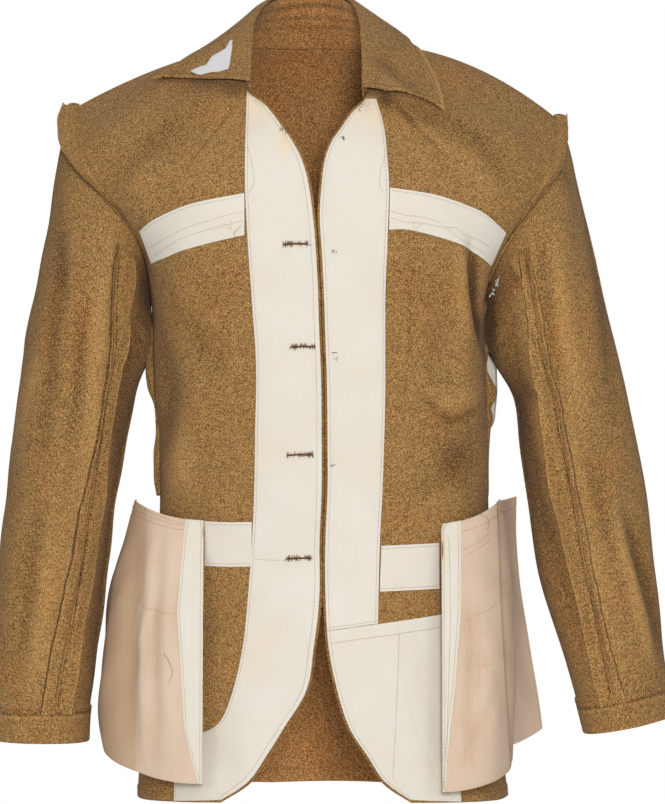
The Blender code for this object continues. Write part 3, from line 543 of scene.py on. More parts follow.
# Depth of a fold at which the painted shade in its trough and the painted highlight and rubbing on its ridge
# are full, and how far before the side seam its raw edge starts.
FOLD_WEAR_AND_SHADE = 2.7
SIDE_ROOT = 12.0
# How a raw edge rolls down: steps beyond the edge and how far they drop, and how dark their painted shadow
# is.
EDGE_ROLL = ((0.5, 0.8), (1.7, 1.7))
EDGE_SHADOW = (-1.6, -2.3)
# How dark the painted shade in the fold at a raw edge's seam is, over its first points.
GROOVE_SHADE = np.array((1.8, 1.2, 0.4))
# Armhole allowances, by the distance from the shoulder seam along the armhole: how far the body's laps
# back on the yoke, how far its raw edge reaches over the sleeve and lifts, how far the sleeve's stands.
FLANGE_AWAY = (0.0, 2.0, 4.0, 5.5, 6.5, 8.0, 9.0)
FLANGE = {
    -1: ((9, 11, 10, 6, 4, 3, 3), (1, 1, 1, 1, 1, 1, 1),
         (4, 3.2, 2.8, 2.6, 2.6, 2.2, 1), (9, 13, 8, 4, 3.5, 3, 2)),
    1: ((8, 9, 10, 9, 7, 6, 5), (1, 3, 2, 1.5, 2, 4, 6),
        (4, 3.2, 2.8, 2.6, 2.8, 3, 2), (6, 4, 3.5, 4, 4.5, 5, 4)),
}
# Points round an armhole and a sleeve, and how much of the ring at the armpit has no allowance.
ARMHOLE_POINTS = 220
RING_POINTS = 41
ARMPIT_SKIP = 1.3
# Points across a raw allowance on the body and on a sleeve, and across and along the label.
RAW_ACROSS = 9
FLAP_ACROSS = 13
LABEL_ROWS = 40
LABEL_ACROSS = 22
TAPE = 0.6
# How dark or pale sewn, soiled and gaping places are: soil at the neck, painted shade in the gaping slits,
# painted light and shade along the stand's stitched rows, a painted highlight on the fall's rim, and the
# share of their folds' painted shade, highlight and rubbing that the bags get.
NECK_SOIL_DEPTH = 1.7
SLIT_SHADE_DEPTH = 3.0
STAND_ROW_PALE = 2.6
FALL_RIM_HIGHLIGHT = 1.7
BAG_FOLD_WEAR_AND_SHADE = 0.35
UNDERARM_COLUMNS = 17
# How an underarm piece stands off the back: columns in from its free edge, and the share of its reach.
UNDERARM_FLARE = ((0, 1, 2, 3, 6), (0.15, 0.8, 1, 0.97, 0.7, 0))
CLOTH = {}
FINISHES = {}

# Studio: camera of the photograph, soft lamps (name, place, width, power), floor and white surroundings.
CAMERA_PLACE = (0.0138, -3.2, -0.3107)
CAMERA_LENS = 150.8
LAMP_AIM = (0.0, 0.0, -0.35)
LAMPS = (
    ("soft_front", (0.24, -3.15, 0.1), 0.7, 58.0),
    ("soft_right", (2.3, -2.3, 0.2), 1.3, 11.0),
    ("soft_left", (-2.3, -2.3, 0.4), 1.3, 17.0),
    ("soft_top", (0.0, -0.9, 2.2), 1.6, 17.0),
    ("soft_back", (0.3, 3.2, 0.6), 1.6, 55.0),
)
FLOOR_SIZE = 4.4
FLOOR_Z = -1.0
WORLD_LIGHT = 0.15
WORLD_SEEN = 1.0

# Rows of stitches on the front view: the pieces that they are sewn on, and the line (x, z).
COTTON_SEAMS = (
    (("breast_stay_r",), (
        (67, -136), (83, -140), (94, -141), (109, -145), (118, -150), (127, -151), (134, -156), (150, -162),
        (159, -168))),
    (("breast_stay_r",), (
        (67, -142), (81, -146), (98, -147), (113, -150), (122, -154), (133, -162), (148, -169), (156, -175))),
    (("breast_stay_r",), ((88, -146), (88, -154))),
    (("breast_stay_r",), ((88, -154), (96, -147))),
    (("breast_stay_r",), ((68, -117), (107, -123), (142, -134), (157, -141), (171, -152))),
    (("breast_stay_l",), ((-68, -137), (-84, -140), (-97, -144), (-121, -151), (-140, -160), (-157, -168))),
    (("breast_stay_l",), ((-68, -145), (-97, -152), (-121, -159), (-138, -167), (-152, -175))),
    (("breast_stay_l",), ((-79, -144), (-79, -153))),
    (("breast_stay_l",), ((-79, -153), (-88, -146))),
    (("breast_stay_l",), ((-68, -122), (-97, -128), (-121, -133), (-150, -145), (-162, -153))),
    (("facing_l",), ((-64, -77), (-60, -92), (-58, -108), (-60, -115), (-64, -120))),
    (("facing_r",), ((62, -84), (58, -99), (57, -111), (59, -117), (63, -120))),
    (("skirt_pocket_r",), ((75, -523), (73, -580), (69, -657))),
    (("facing_l",), ((-58, -455), (-40, -456), (-16, -455))),
)
BAG_SEAMS = (
    (("pocket_bag_l",), ((-196, -488), (-188, -489), (-177, -492), (-165, -496), (-158, -501), (-130, -506))),
    (("pocket_bag_l",), ((-125, -513), (-118, -512), (-112, -508), (-106, -502))),
    (("pocket_bag_l",), ((-168, -407), (-154, -414), (-133, -421), (-121, -424))),
    (("pocket_bag_r",), ((134, -447), (149, -440), (162, -430))),
    (("pocket_bag_r",), ((135, -453), (149, -446), (162, -436))),
    (("pocket_bag_r",), ((135, -512), (149, -505), (158, -502), (166, -495))),
    (("pocket_bag_r", "pocket_side_r"), ((169, -480), (174, -477), (181, -476), (189, -478))),
    (("pocket_bag_r", "pocket_side_r"), ((170, -490), (175, -489), (181, -490))),
    (("pocket_bag_r", "pocket_side_r"), ((175, -546), (184, -545), (196, -541))),
    (("pocket_bag_r", "pocket_side_r"), ((178, -406), (178, -440), (177, -472))),
    (("pocket_strip_r",), ((121, -436), (122, -505), (120, -570), (118, -640))),
)
SERGE_SEAMS = (
    (("front_l",), ((-75, -36), (-113, -86))),
    (("front_r",), ((71, -34), (122, -89))),
    (("sleeve_top_l", "sleeve_under_l"), ((-248, -600), (-249, -627))),
    (("sleeve_top_r", "sleeve_under_r"), ((289, -592), (292, -616))),
)
# Rows of stitches along edges: piece, edge and how far in from it.
COTTON_EDGES = (
    ("facing_l", "first_column", 2.4), ("facing_r", "first_column", 2.4), ("facing_l", "last_column", 4.4),
    ("facing_r", "last_column", 2.6), ("skirt_pocket_r", "last_column", 2.8),
    ("skirt_pocket_r", "first_row", 11.5), ("facing_r", "last_row", 2.5),
    ("waist_stay_l", "first_column", 2.6), ("waist_stay_l", "last_column", 2.6),
    ("waist_stay_r", "first_column", 2.6), ("waist_stay_r", "last_column", 2.6),
)
BAG_EDGES = (
    ("pocket_bag_l", "first_row", BAG_HEM), ("pocket_bag_l", "first_row", BAG_HEM - BAG_ROW_GAP),
    ("pocket_bag_r", "first_row", BAG_HEM), ("pocket_side_r", "first_row", BAG_HEM),
    ("pocket_side_r", "last_column", 3.0), ("pocket_strip_l", "first_column", 2.4),
    ("pocket_strip_r", "first_column", 2.4), ("pocket_strip_r", "last_column", 2.6),
    ("pocket_strip_l", "last_column", 2.2),
)
HEM_STITCH = HEM_TURN - 1.5
CUFF_STITCH = CUFF_TURN - 2.5
# Rows on the collar stand: the shares of its length between which they run, and how far up each lies.
STAND_PART = (0.3, 0.7)
STAND_STITCHES = (0.86, 0.8, 0.6, 0.42)
# Level of the stitches inside the back's hem, and points left out at their ends.
BACK_HEM_STITCH = -671.0
BACK_HEM_INSET = 24
# Buttonholes (x, z), and how many worked threads lie on each.
BUTTONHOLES = ((-20.0, -166.0), (-13.0, -260.0), (-16.0, -359.0), (-17.0, -454.0))
BUTTONHOLE_THREADS = 30
# Tacks and cut button threads: pieces, x, z, threads, spread.
TACKS = (
    (("facing_l",), -32.0, -60.0, 7, 1.6),
    (("facing_r",), 23.0, -68.0, 4, 1.2),
    (("facing_r", "front_r"), 37.0, -36.0, 16, 3.6),
    (("facing_r",), 15.0, -173.0, 5, 1.5),
    (("facing_r",), 16.0, -269.0, 5, 1.5),
    (("facing_r",), 13.0, -368.0, 5, 1.5),
)
# Loose ends of thread: pieces and line (x, z). Then frayed threads between two places.
LOOSE_ENDS = (
    (("sleeve_top_r", "sleeve_under_r"), ((222, -482), (229, -486), (231, -494), (228, -503))),
    (("pocket_bag_r",), ((146, -414), (152, -416), (158, -421), (157, -430))),
    (("pocket_bag_l",), ((-141, -541), (-136, -549), (-133, -558), (-136, -568))),
    (("breast_stay_l",), ((-70, -150), (-76, -157), (-72, -163))),
)
FRAYED = ((167.0, -86.0, -198.0), (159.0, -88.0, -214.0))
FRAYED_THREADS = 18


def smooth(table, at):
    """Rows between the rows of a table, on a curve through them."""
    at = np.asarray(at, float)
    last = len(table) - 1
    low = np.clip(np.floor(at).astype(int), 0, last - 1)
    f = (at - low)[..., None]
    rows = [table[np.clip(low + step, 0, last)] for step in (-1, 0, 1, 2)]
    before = -0.5 * f + f * f - 0.5 * f ** 3
    here = 1 - 2.5 * f * f + 1.5 * f ** 3
    after = 0.5 * f + 2 * f * f - 1.5 * f ** 3
    beyond = -0.5 * f * f + 0.5 * f ** 3
    return before * rows[0] + here * rows[1] + after * rows[2] + beyond * rows[3]


def step_in(share):
    """0 below 0, 1 above 1 and a soft step between."""
    t = np.clip(share, 0, 1)
    return t * t * (3 - 2 * t)


def unit(vectors):
    """The vectors with a length of 1."""
    return vectors / np.maximum(np.linalg.norm(vectors, axis=-1, keepdims=True), 1e-9)


def lengths_along(line):
    """Length along a line up to each of its points."""
    return np.concatenate([[0], np.cumsum(np.linalg.norm(np.diff(line, axis=0), axis=1))])


def read_at(at, done, values):
    """Values between those of a line's points, at given lengths along it."""
    return np.stack([np.interp(at, done, column) for column in values.T], axis=-1)


def at_levels(table, z):
    """Rows of a table whose first column is a falling level, at the given levels."""
    return smooth(table, np.interp(-z, -table[:, 0], np.arange(len(table))))


def soft_patch(grid, x, z, width, height):
    """A soft round patch on the front view, 1 at its middle."""
    return np.exp(-((grid[..., 0] - x) / width) ** 2 - ((grid[..., 2] - z) / height) ** 2)


def past_line(grid, line, side):
    """How far each point lies outwards of a line that runs down the front view."""
    line = np.array(line, float)[::-1]
    return side * (grid[..., 0] - np.interp(grid[..., 2], line[:, 1], line[:, 0]))


def body_front(side, column, at):
    """Points of a front below the armpit: column 0 is its edge and 1 the side seam."""
    parts = np.moveaxis(smooth(BODY, at)[:, None, :], 2, 0)
    z_side, z_edge, middle, half_width, front, _, edge_l, edge_r = parts
    edge = side * ((edge_r if side > 0 else edge_l) - middle)
    start = np.sign(edge) * np.arcsin((np.abs(edge) / half_width) ** (SQUARENESS / 2))
    angle = start + column * (math.pi / 2 - start)
    across = np.sign(angle) * np.sin(np.abs(angle)) ** (2 / SQUARENESS)
    deep = np.maximum(np.cos(angle), 0) ** (2 / SQUARENESS)
    z = z_edge + (z_side - z_edge) * column
    return np.stack([middle + side * half_width * across, -front * deep, z], axis=2)


def body_back(side, column, at):
    """Points of the back below the armpit: column 0 is the side seam and 1 the middle."""
    parts = np.moveaxis(smooth(BODY, at)[:, None, :], 2, 0)
    z_side, _, middle, half_width, _, back, _, _ = parts
    angle = (1 - column) * math.pi / 2
    across = np.sin(angle) ** (2 / SQUARENESS)
    deep = np.maximum(np.cos(angle), 0) ** (2 / SQUARENESS)
    x = middle + side * half_width * across
    return np.stack([x, back * deep, np.broadcast_to(z_side, x.shape)], axis=2)


def armhole(side, face, at):
    """Points of the armhole seam on the front, face -1, or the back, face 1."""
    row = smooth(ARMHOLE_R if side > 0 else ARMHOLE_L, at)
    return row[..., [0, 1, 3]] if face < 0 else row[..., [0, 2, 4]]


def front_edge(side, at):
    row = smooth(NECK, at)
    return row[..., 3:6] if side > 0 else row[..., 0:3]


def back_middle(at):
    row = smooth(NECK, at)
    return np.stack([NECK_MIDDLE * np.asarray(at, float) / NECK_TOP, row[..., 6], row[..., 7]], axis=-1)


def shoulder_seam(side, share):
    """Points of the crowned shoulder seam, a share of the way from the neck to the tip."""
    share = np.asarray(share, float)[..., None]
    neck = front_edge(side, NECK_TOP)
    crown = SHOULDER_CROWN[side] * 4 * share * (1 - share)
    return neck + (armhole(side, 1, NECK_TOP) - neck) * share + crown * np.array((0, 0, 1))


def back_top(side, column):
    """Top of the back: the shoulder seam from the tip to the neck, then the neck seam."""
    column = np.asarray(column, float)
    neck = front_edge(side, NECK_TOP)
    middle = back_middle(NECK_TOP)
    turn = np.clip((column - NECK_AT) / (1 - NECK_AT), 0, 1) * math.pi / 2
    x = middle[0] + (neck[0] - middle[0]) * np.cos(turn)
    y, z = (neck[i] + (middle[i] - neck[i]) * np.sin(turn) for i in (1, 2))
    seam = shoulder_seam(side, 1 - np.clip(column / NECK_AT, 0, 1))
    return np.where((column <= NECK_AT)[..., None], seam, np.stack([x, y, z], axis=-1))


def yoke(low, high, first, last, column, rise):
    """Patch between its low and high edges that also follows its first and last sides."""
    rise = rise[:, None, None]
    column = column[None, :, None]
    base = low[None] + (high - low)[None] * rise
    to_first = first[:, None] - (low[0] + (high[0] - low[0]) * rise)
    to_last = last[:, None] - (low[-1] + (high[-1] - low[-1]) * rise)
    return base + (1 - column) * to_first + column * to_last


def front_sheet(side):
    """The smooth sheet of a front, from the hem to the shoulder seam."""
    column = np.linspace(0, 1, FRONT_ACROSS)
    low = body_front(side, column, np.linspace(0, len(BODY) - 1, SKIRT_ROWS))
    at = np.linspace(0, NECK_TOP, YOKE_ROWS)[1:]
    v = at / NECK_TOP
    high = yoke(low[-1], shoulder_seam(side, column), front_edge(side, at), armhole(side, -1, at),
                column, v * v * (3 - 2 * v))
    return folded(np.concatenate([low, high]))


def back_sheet():
    """The smooth sheet of the back, from the left side seam to the right one."""
    column = np.linspace(0, 1, BACK_ACROSS)
    at = np.linspace(0, NECK_TOP, YOKE_ROWS)[1:]
    halves = []
    for side in (-1, 1):
        low = body_back(side, column, np.linspace(0, len(BODY) - 1, SKIRT_ROWS))
        high = yoke(low[-1], back_top(side, column), armhole(side, 1, at), back_middle(at),
                    column, (at / NECK_TOP) ** BACK_RISE)
        halves.append(np.concatenate([low, high]))
    return folded(np.concatenate([halves[0], halves[1][:, -2::-1]], axis=1))


def folded(points):
    """The points moved by the soft folds of their face, which fade out towards the sides."""
    moved = points.copy()
    x, y, z = np.moveaxis(points, -1, 0)
    strength = np.minimum(1.0, np.abs(y) / FOLD_FADE)
    for face, fold_x, fold_z, reach, lean, width, depth in FOLDS:
        along = (z - fold_z) / reach
        here = (face * y > 0) & (np.abs(along) < 1)
        across = (x - fold_x - lean * along) / width
        push = face * depth * strength * (1 - along * along) ** 2 * np.exp(-across * across)
        moved[..., 1] += np.where(here, push, 0)
    return moved


def sleeve_ring(table, side, at, step):
    """Points round the sleeve: step 0 is the inner side, 5 the front and 10 the outer side."""
    z, x, half_width, y, half_depth, tilt = np.moveaxis(smooth(table, at)[..., None, :], -1, 0)
    angle = np.radians(DEGREES_A_STEP * step)
    inward = np.cos(angle)
    ring_x = x - side * half_width * inward
    ring_y = y - half_depth * np.sin(angle)
    return np.stack([ring_x, ring_y, z - tilt * inward], axis=-1)


def sleeve_sheet(side, first, last, across):
    """Sheet of a sleeve between two steps of its ring, and the rise of its turned-up cuff."""
    table = SLEEVE_R if side > 0 else SLEEVE_L
    end = len(table) - 1
    step = np.linspace(first, last, across)
    around = np.mod(step, 2 * NECK_TOP)
    fore = around <= NECK_TOP
    seam = np.where(fore[:, None], armhole(side, -1, np.minimum(around, NECK_TOP)),
                    armhole(side, 1, np.minimum(2 * NECK_TOP - around, NECK_TOP)))
    under = sleeve_ring(table, side, np.array([0.0]), step)[0]
    puff = np.maximum(0, -np.cos(np.radians(DEGREES_A_STEP * step)))[:, None] * np.array((side, 0, 0))
    f = np.linspace(0, 1, CAP_ROWS)[:-1, None, None]
    cap = seam + (under - seam) * f + puff * CAP_FULLNESS * f * (1 - f) ** CAP_FADE
    turn = end - CUFF_TURN / (table[end - 1][0] - table[end][0])
    at = np.sort(np.concatenate([np.linspace(0, end, ARM_ROWS), [turn - 0.01, turn + 0.02, turn + 0.05]]))
    sheet = np.concatenate([cap, sleeve_ring(table, side, at, step)])
    depth, level, half = ARMPIT_REST[side]
    inner = np.maximum(0, np.cos(np.radians(DEGREES_A_STEP * step))) ** 2
    sheet[..., 0] -= side * depth * inner * np.exp(-((sheet[..., 2] - level) / half) ** 2)
    rise = np.concatenate([np.zeros(len(f)), CUFF_RISE * step_in((at - turn) / 0.05)])
    return sheet, rise


def sleeve_centre(side):
    """Middle of each row of a sleeve."""
    whole, _ = sleeve_sheet(side, 0, 2 * NECK_TOP, RING_POINTS)
    return whole[:, :-1].mean(axis=1, keepdims=True)


def normals_of(grid, outwards):
    """Unit normals of a grid, turned to the side that the given directions point to."""
    normals = unit(np.cross(np.gradient(grid, axis=0), np.gradient(grid, axis=1)))
    return normals if (normals * outwards).sum() > 0 else -normals


def from_axis(grid, x=0.0):
    return (grid - np.array((x, 0, 0))) * np.array((1, 1, 0))


def near_line(points, line):
    """Distance of each point from a line on the front view, and its share of the way along."""
    best = np.full(points.shape[:-1], 1e9)
    share = np.zeros(points.shape[:-1])
    line = np.asarray(line, float)
    lengths = np.linalg.norm(np.diff(line, axis=0), axis=1)
    done = np.concatenate([[0], np.cumsum(lengths)]) / lengths.sum()
    flat = points[..., [0, 2]]
    for i, (a, b) in enumerate(zip(line, line[1:])):
        t = np.clip(((flat - a) @ (b - a)) / lengths[i] ** 2, 0, 1)
        away = np.linalg.norm(flat - a - t[..., None] * (b - a), axis=-1)
        closer = away < best
        best = np.where(closer, away, best)
        share = np.where(closer, done[i] + t * (done[i + 1] - done[i]), share)
    return best, share


def creased(points, creases, face):
    """How far each point moves out for the creases of a face: ridges up and troughs down."""
    push = np.zeros(points.shape[:-1])
    here = face * points[..., 1] > 0
    for crease_face, width, depth, line in creases:
        if crease_face != face:
            continue
        away, share = near_line(points, line)
        taper = np.sin(math.pi * np.clip(share, 0.03, 0.97)) ** 0.6
        push += np.where(here, depth * taper * np.exp(-(away / width) ** 2), 0)
    return push


def rumpled(points, seed, waves):
    """Low uneven swells all over a cloth, from a few waves that cross each other."""
    flow = np.random.default_rng(seed)
    push = np.zeros(points.shape[:-1])
    for length, height in waves:
        way = unit(flow.normal(size=3) * np.array((1, 1, 0.45)))
        push += height * np.sin(2 * math.pi * (points @ way) / length + flow.uniform(0, 6.28))
    return push


def piece(name, points, faces, uv, kind, slot, nodes=(), wear=None):
    """A named mesh in metres that rides on the tunic and stands for its solids.

    Its last argument says for each point how far the cloth is drawn paler, above 0, or darker, below 0:
    partly rubbing and soil, partly a painted highlight on ridges and rims and painted shade in folds,
    grooves, gaps and hollows.
    """
    mesh = bpy.data.meshes.new(name)
    mesh.from_pydata((np.asarray(points) * MM).tolist(), [], faces)
    layer = mesh.uv_layers.new(name="cloth")
    corners = np.empty(len(mesh.loops), dtype=np.int32)
    mesh.loops.foreach_get("vertex_index", corners)
    layer.data.foreach_set("uv", (np.asarray(uv) * MM)[corners].ravel())
    if wear is not None:
        values = mesh.attributes.new("wear", "FLOAT", "POINT").data
        values.foreach_set("value", np.asarray(wear, np.float32).ravel())
    mesh.validate()
    mesh.shade_smooth()
    mesh.set_sharp_from_angle(angle=SHARP_ANGLE)
    mesh.materials.append(finish_of(kind))
    made = bpy.data.objects.new(name, mesh)
    bpy.context.scene.collection.objects.link(made)
    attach(made, BODY_NAME)
    if nodes:
        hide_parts(*nodes)
    return made


def quads(rows, columns, start=0):
    """Faces of a grid of points."""
    here = start + (np.arange(rows - 1)[:, None] * columns + np.arange(columns - 1)).ravel()
    return np.stack([here, here + 1, here + columns + 1, here + columns], axis=1)


def cloth_lengths(grid):
    """Lengths along the cloth across and down a grid, in millimetres."""
    across = np.linalg.norm(np.diff(grid, axis=1), axis=2).cumsum(axis=1)
    down = np.linalg.norm(np.diff(grid, axis=0), axis=2).cumsum(axis=0)
    u = np.pad(across, ((0, 0), (1, 0)))
    v = np.pad(down, ((1, 0), (0, 0)))
    return np.stack([u - u.mean(axis=1, keepdims=True), v], axis=2)


def wall(name, grid, normals, low, high, kind="wool", nodes=None, thin=0.55, wear=0.0, inside=None):
    """A closed wall of cloth on a sheet, with edges rounded by thinning them.

    nodes are the solids that it stands for, if not the one of its name. inside is the kind of cloth on
    the wall's inner face where it isn't that of the outer one.
    """
    rows, columns, _ = grid.shape
    low = np.broadcast_to(np.asarray(low, float), (rows, columns)).copy()
    high = np.broadcast_to(np.asarray(high, float), (rows, columns)).copy()
    rim = np.zeros((rows, columns), bool)
    rim[[0, -1]] = True
    rim[:, [0, -1]] = True
    middle = (low + high) / 2
    low[rim] = (middle + (low - middle) * thin)[rim]
    high[rim] = (middle + (high - middle) * thin)[rim]
    outer = (grid + normals * high[..., None]).reshape(-1, 3)
    inner = (grid + normals * low[..., None]).reshape(-1, 3)
    count = rows * columns
    index = np.arange(count).reshape(rows, columns)
    edge = np.concatenate([index[0], index[1:, -1], index[-1, -2::-1], index[-2::-1, 0]])
    sides = np.stack([edge[1:], edge[:-1], edge[:-1] + count, edge[1:] + count], axis=1)
    top = quads(rows, columns)
    faces = np.concatenate([top, top[:, ::-1] + count, sides])
    if (np.cross(grid[1, 0] - grid[0, 0], grid[0, 1] - grid[0, 0]) * normals[0, 0]).sum() > 0:
        faces = faces[:, ::-1]
    uv = cloth_lengths(grid).reshape(-1, 2)
    CLOTH[name] = (grid, normals, high)
    wear = np.broadcast_to(np.asarray(wear, float), (rows, columns)).ravel()
    # The inner face gets half of the outer face's wear, painted highlight and painted shade, reversed.
    made = piece(name + "_cloth", np.concatenate([outer, inner]), faces.tolist(), np.concatenate([uv, uv]),
                 kind, SLOTS[kind], [name] if nodes is None else nodes, np.concatenate([wear, -0.5 * wear]))
    if inside is not None:
        made.data.materials.append(finish_of(inside))
        turned = np.zeros(len(faces), np.int32)
        turned[len(top):2 * len(top)] = 1
        made.data.polygons.foreach_set("material_index", turned)


def tree_of(*grids):
    """One search tree of several sheets."""
    points, faces = [], []
    for grid in grids:
        faces.extend(quads(*grid.shape[:2], len(points)).tolist())
        points.extend(Vector(p) for p in grid.reshape(-1, 3))
    return BVHTree.FromPolygons(points, faces)


def outer_face(name):
    """Points of the outside of a piece of cloth."""
    grid, normals, high = CLOTH[name]
    return grid + normals * high[..., None]


def cast(tree, flat):
    """Points of a sheet behind places on the front view, or the nearest ones beside it."""
    found = np.empty(flat.shape[:-1] + (3,))
    for place in np.ndindex(flat.shape[:-1]):
        x, z = flat[place]
        hit = tree.ray_cast(Vector((x, -IN_FRONT, z)), BACKWARDS)[0]
        if hit is None:
            hit = tree.find_nearest(Vector((x, -BESIDE, z)))[0]
        found[place] = hit
    return found


def clear_of(grid, tree, middle, clearance):
    """The grid with each point at least a clearance outside the sheet of the tree."""
    moved = grid.copy()
    for place in np.ndindex(grid.shape[:2]):
        for _ in range(CLEAR_TRIES):
            found, normal, _, _ = tree.find_nearest(Vector(moved[place]))
            normal = np.array(normal)
            found = np.array(found)
            if normal @ (found - middle) < 0:
                normal = -normal
            height = (moved[place] - found) @ normal
            if height < clearance:
                moved[place] += normal * (clearance - height)
    return moved


def resampled(line, count):
    """A line with so many points, evenly spaced along it."""
    line = np.asarray(line, float)
    done = lengths_along(line)
    return read_at(np.linspace(0, done[-1], count), done, line)


def between(first, last, columns):
    """A grid of points between two edges with as many points."""
    share = np.linspace(0, 1, columns)[None, :, None]
    return first[:, None] * (1 - share) + last[:, None] * share


def tubes(lines, radius, sides):
    """Points, faces and cloth lengths of thin round threads along lines, closed at their ends."""
    points, faces, uv = [], [], []
    turn = np.linspace(0, 2 * math.pi, sides, endpoint=False)
    for line in lines:
        line = np.asarray(line, float)
        way = unit(np.gradient(line, axis=0))
        aside = unit(np.cross(way, THREAD_UP))
        other = np.cross(way, aside)
        size = radius * np.ones(len(line))
        size[[0, -1]] *= 0.45
        ring = aside[:, None] * np.cos(turn)[:, None] + other[:, None] * np.sin(turn)[:, None]
        start = sum(len(p) for p in points)
        points.append((line[:, None] + ring * size[:, None, None]).reshape(-1, 3))
        around = np.tile(turn * radius, len(line))
        uv.append(np.stack([around, np.repeat(np.arange(len(line)), sides)], axis=1))
        for r in range(len(line) - 1):
            for c in range(sides):
                a = start + r * sides + c
                b = start + r * sides + (c + 1) % sides
                faces.append((a, b, b + sides, a + sides))
        faces.append(tuple(range(start + sides - 1, start - 1, -1)))
        end = start + (len(line) - 1) * sides
        faces.append(tuple(range(end, end + sides)))
    return np.concatenate(points), faces, np.concatenate(uv)


def stitches(line, normals, length, gap, lift):
    """Short lines of a machine stitch along a line on the cloth, each dipping at its ends."""
    line = np.asarray(line, float)
    done = lengths_along(line)
    made = []
    for start in np.arange(0, done[-1] - length, length + gap):
        at = start + length * STITCH_PLACES
        place = read_at(at, done, line)
        out = unit(read_at(at, done, normals))
        made.append(place + out * (lift * STITCH_LIFT)[:, None])
    return made


def linear(colour):
    """Linear colour of an sRGB hex value."""
    parts = [int(colour[i:i + 2], 16) / 255 for i in (1, 3, 5)]
    return tuple(c / 12.92 if c <= 0.04045 else ((c + 0.055) / 1.055) ** 2.4 for c in parts)


def add(tree, kind, inputs=(), **settings):
    """A node with its settings, whose inputs are set or linked."""
    node = tree.nodes.new(kind)
    for name, value in settings.items():
        setattr(node, name, value)
    for socket, value in dict(inputs).items():
        if isinstance(value, bpy.types.NodeSocket):
            tree.links.new(value, node.inputs[socket])
        else:
            node.inputs[socket].default_value = value
    return node


def new_material(name):
    made = bpy.data.materials.new(name)
    made.use_nodes = True
    made.node_tree.nodes.clear()
    return made, made.node_tree


def spread(node, *stops):
    """Sets the stops of a colour ramp, each a place and a colour, and gives its colour."""
    elements = node.color_ramp.elements
    while len(elements) < len(stops):
        elements.new(0.5)
    for element, (place, colour) in zip(elements, stops):
        element.position = place
        element.color = (*colour, 1)
    return node.outputs["Color"]


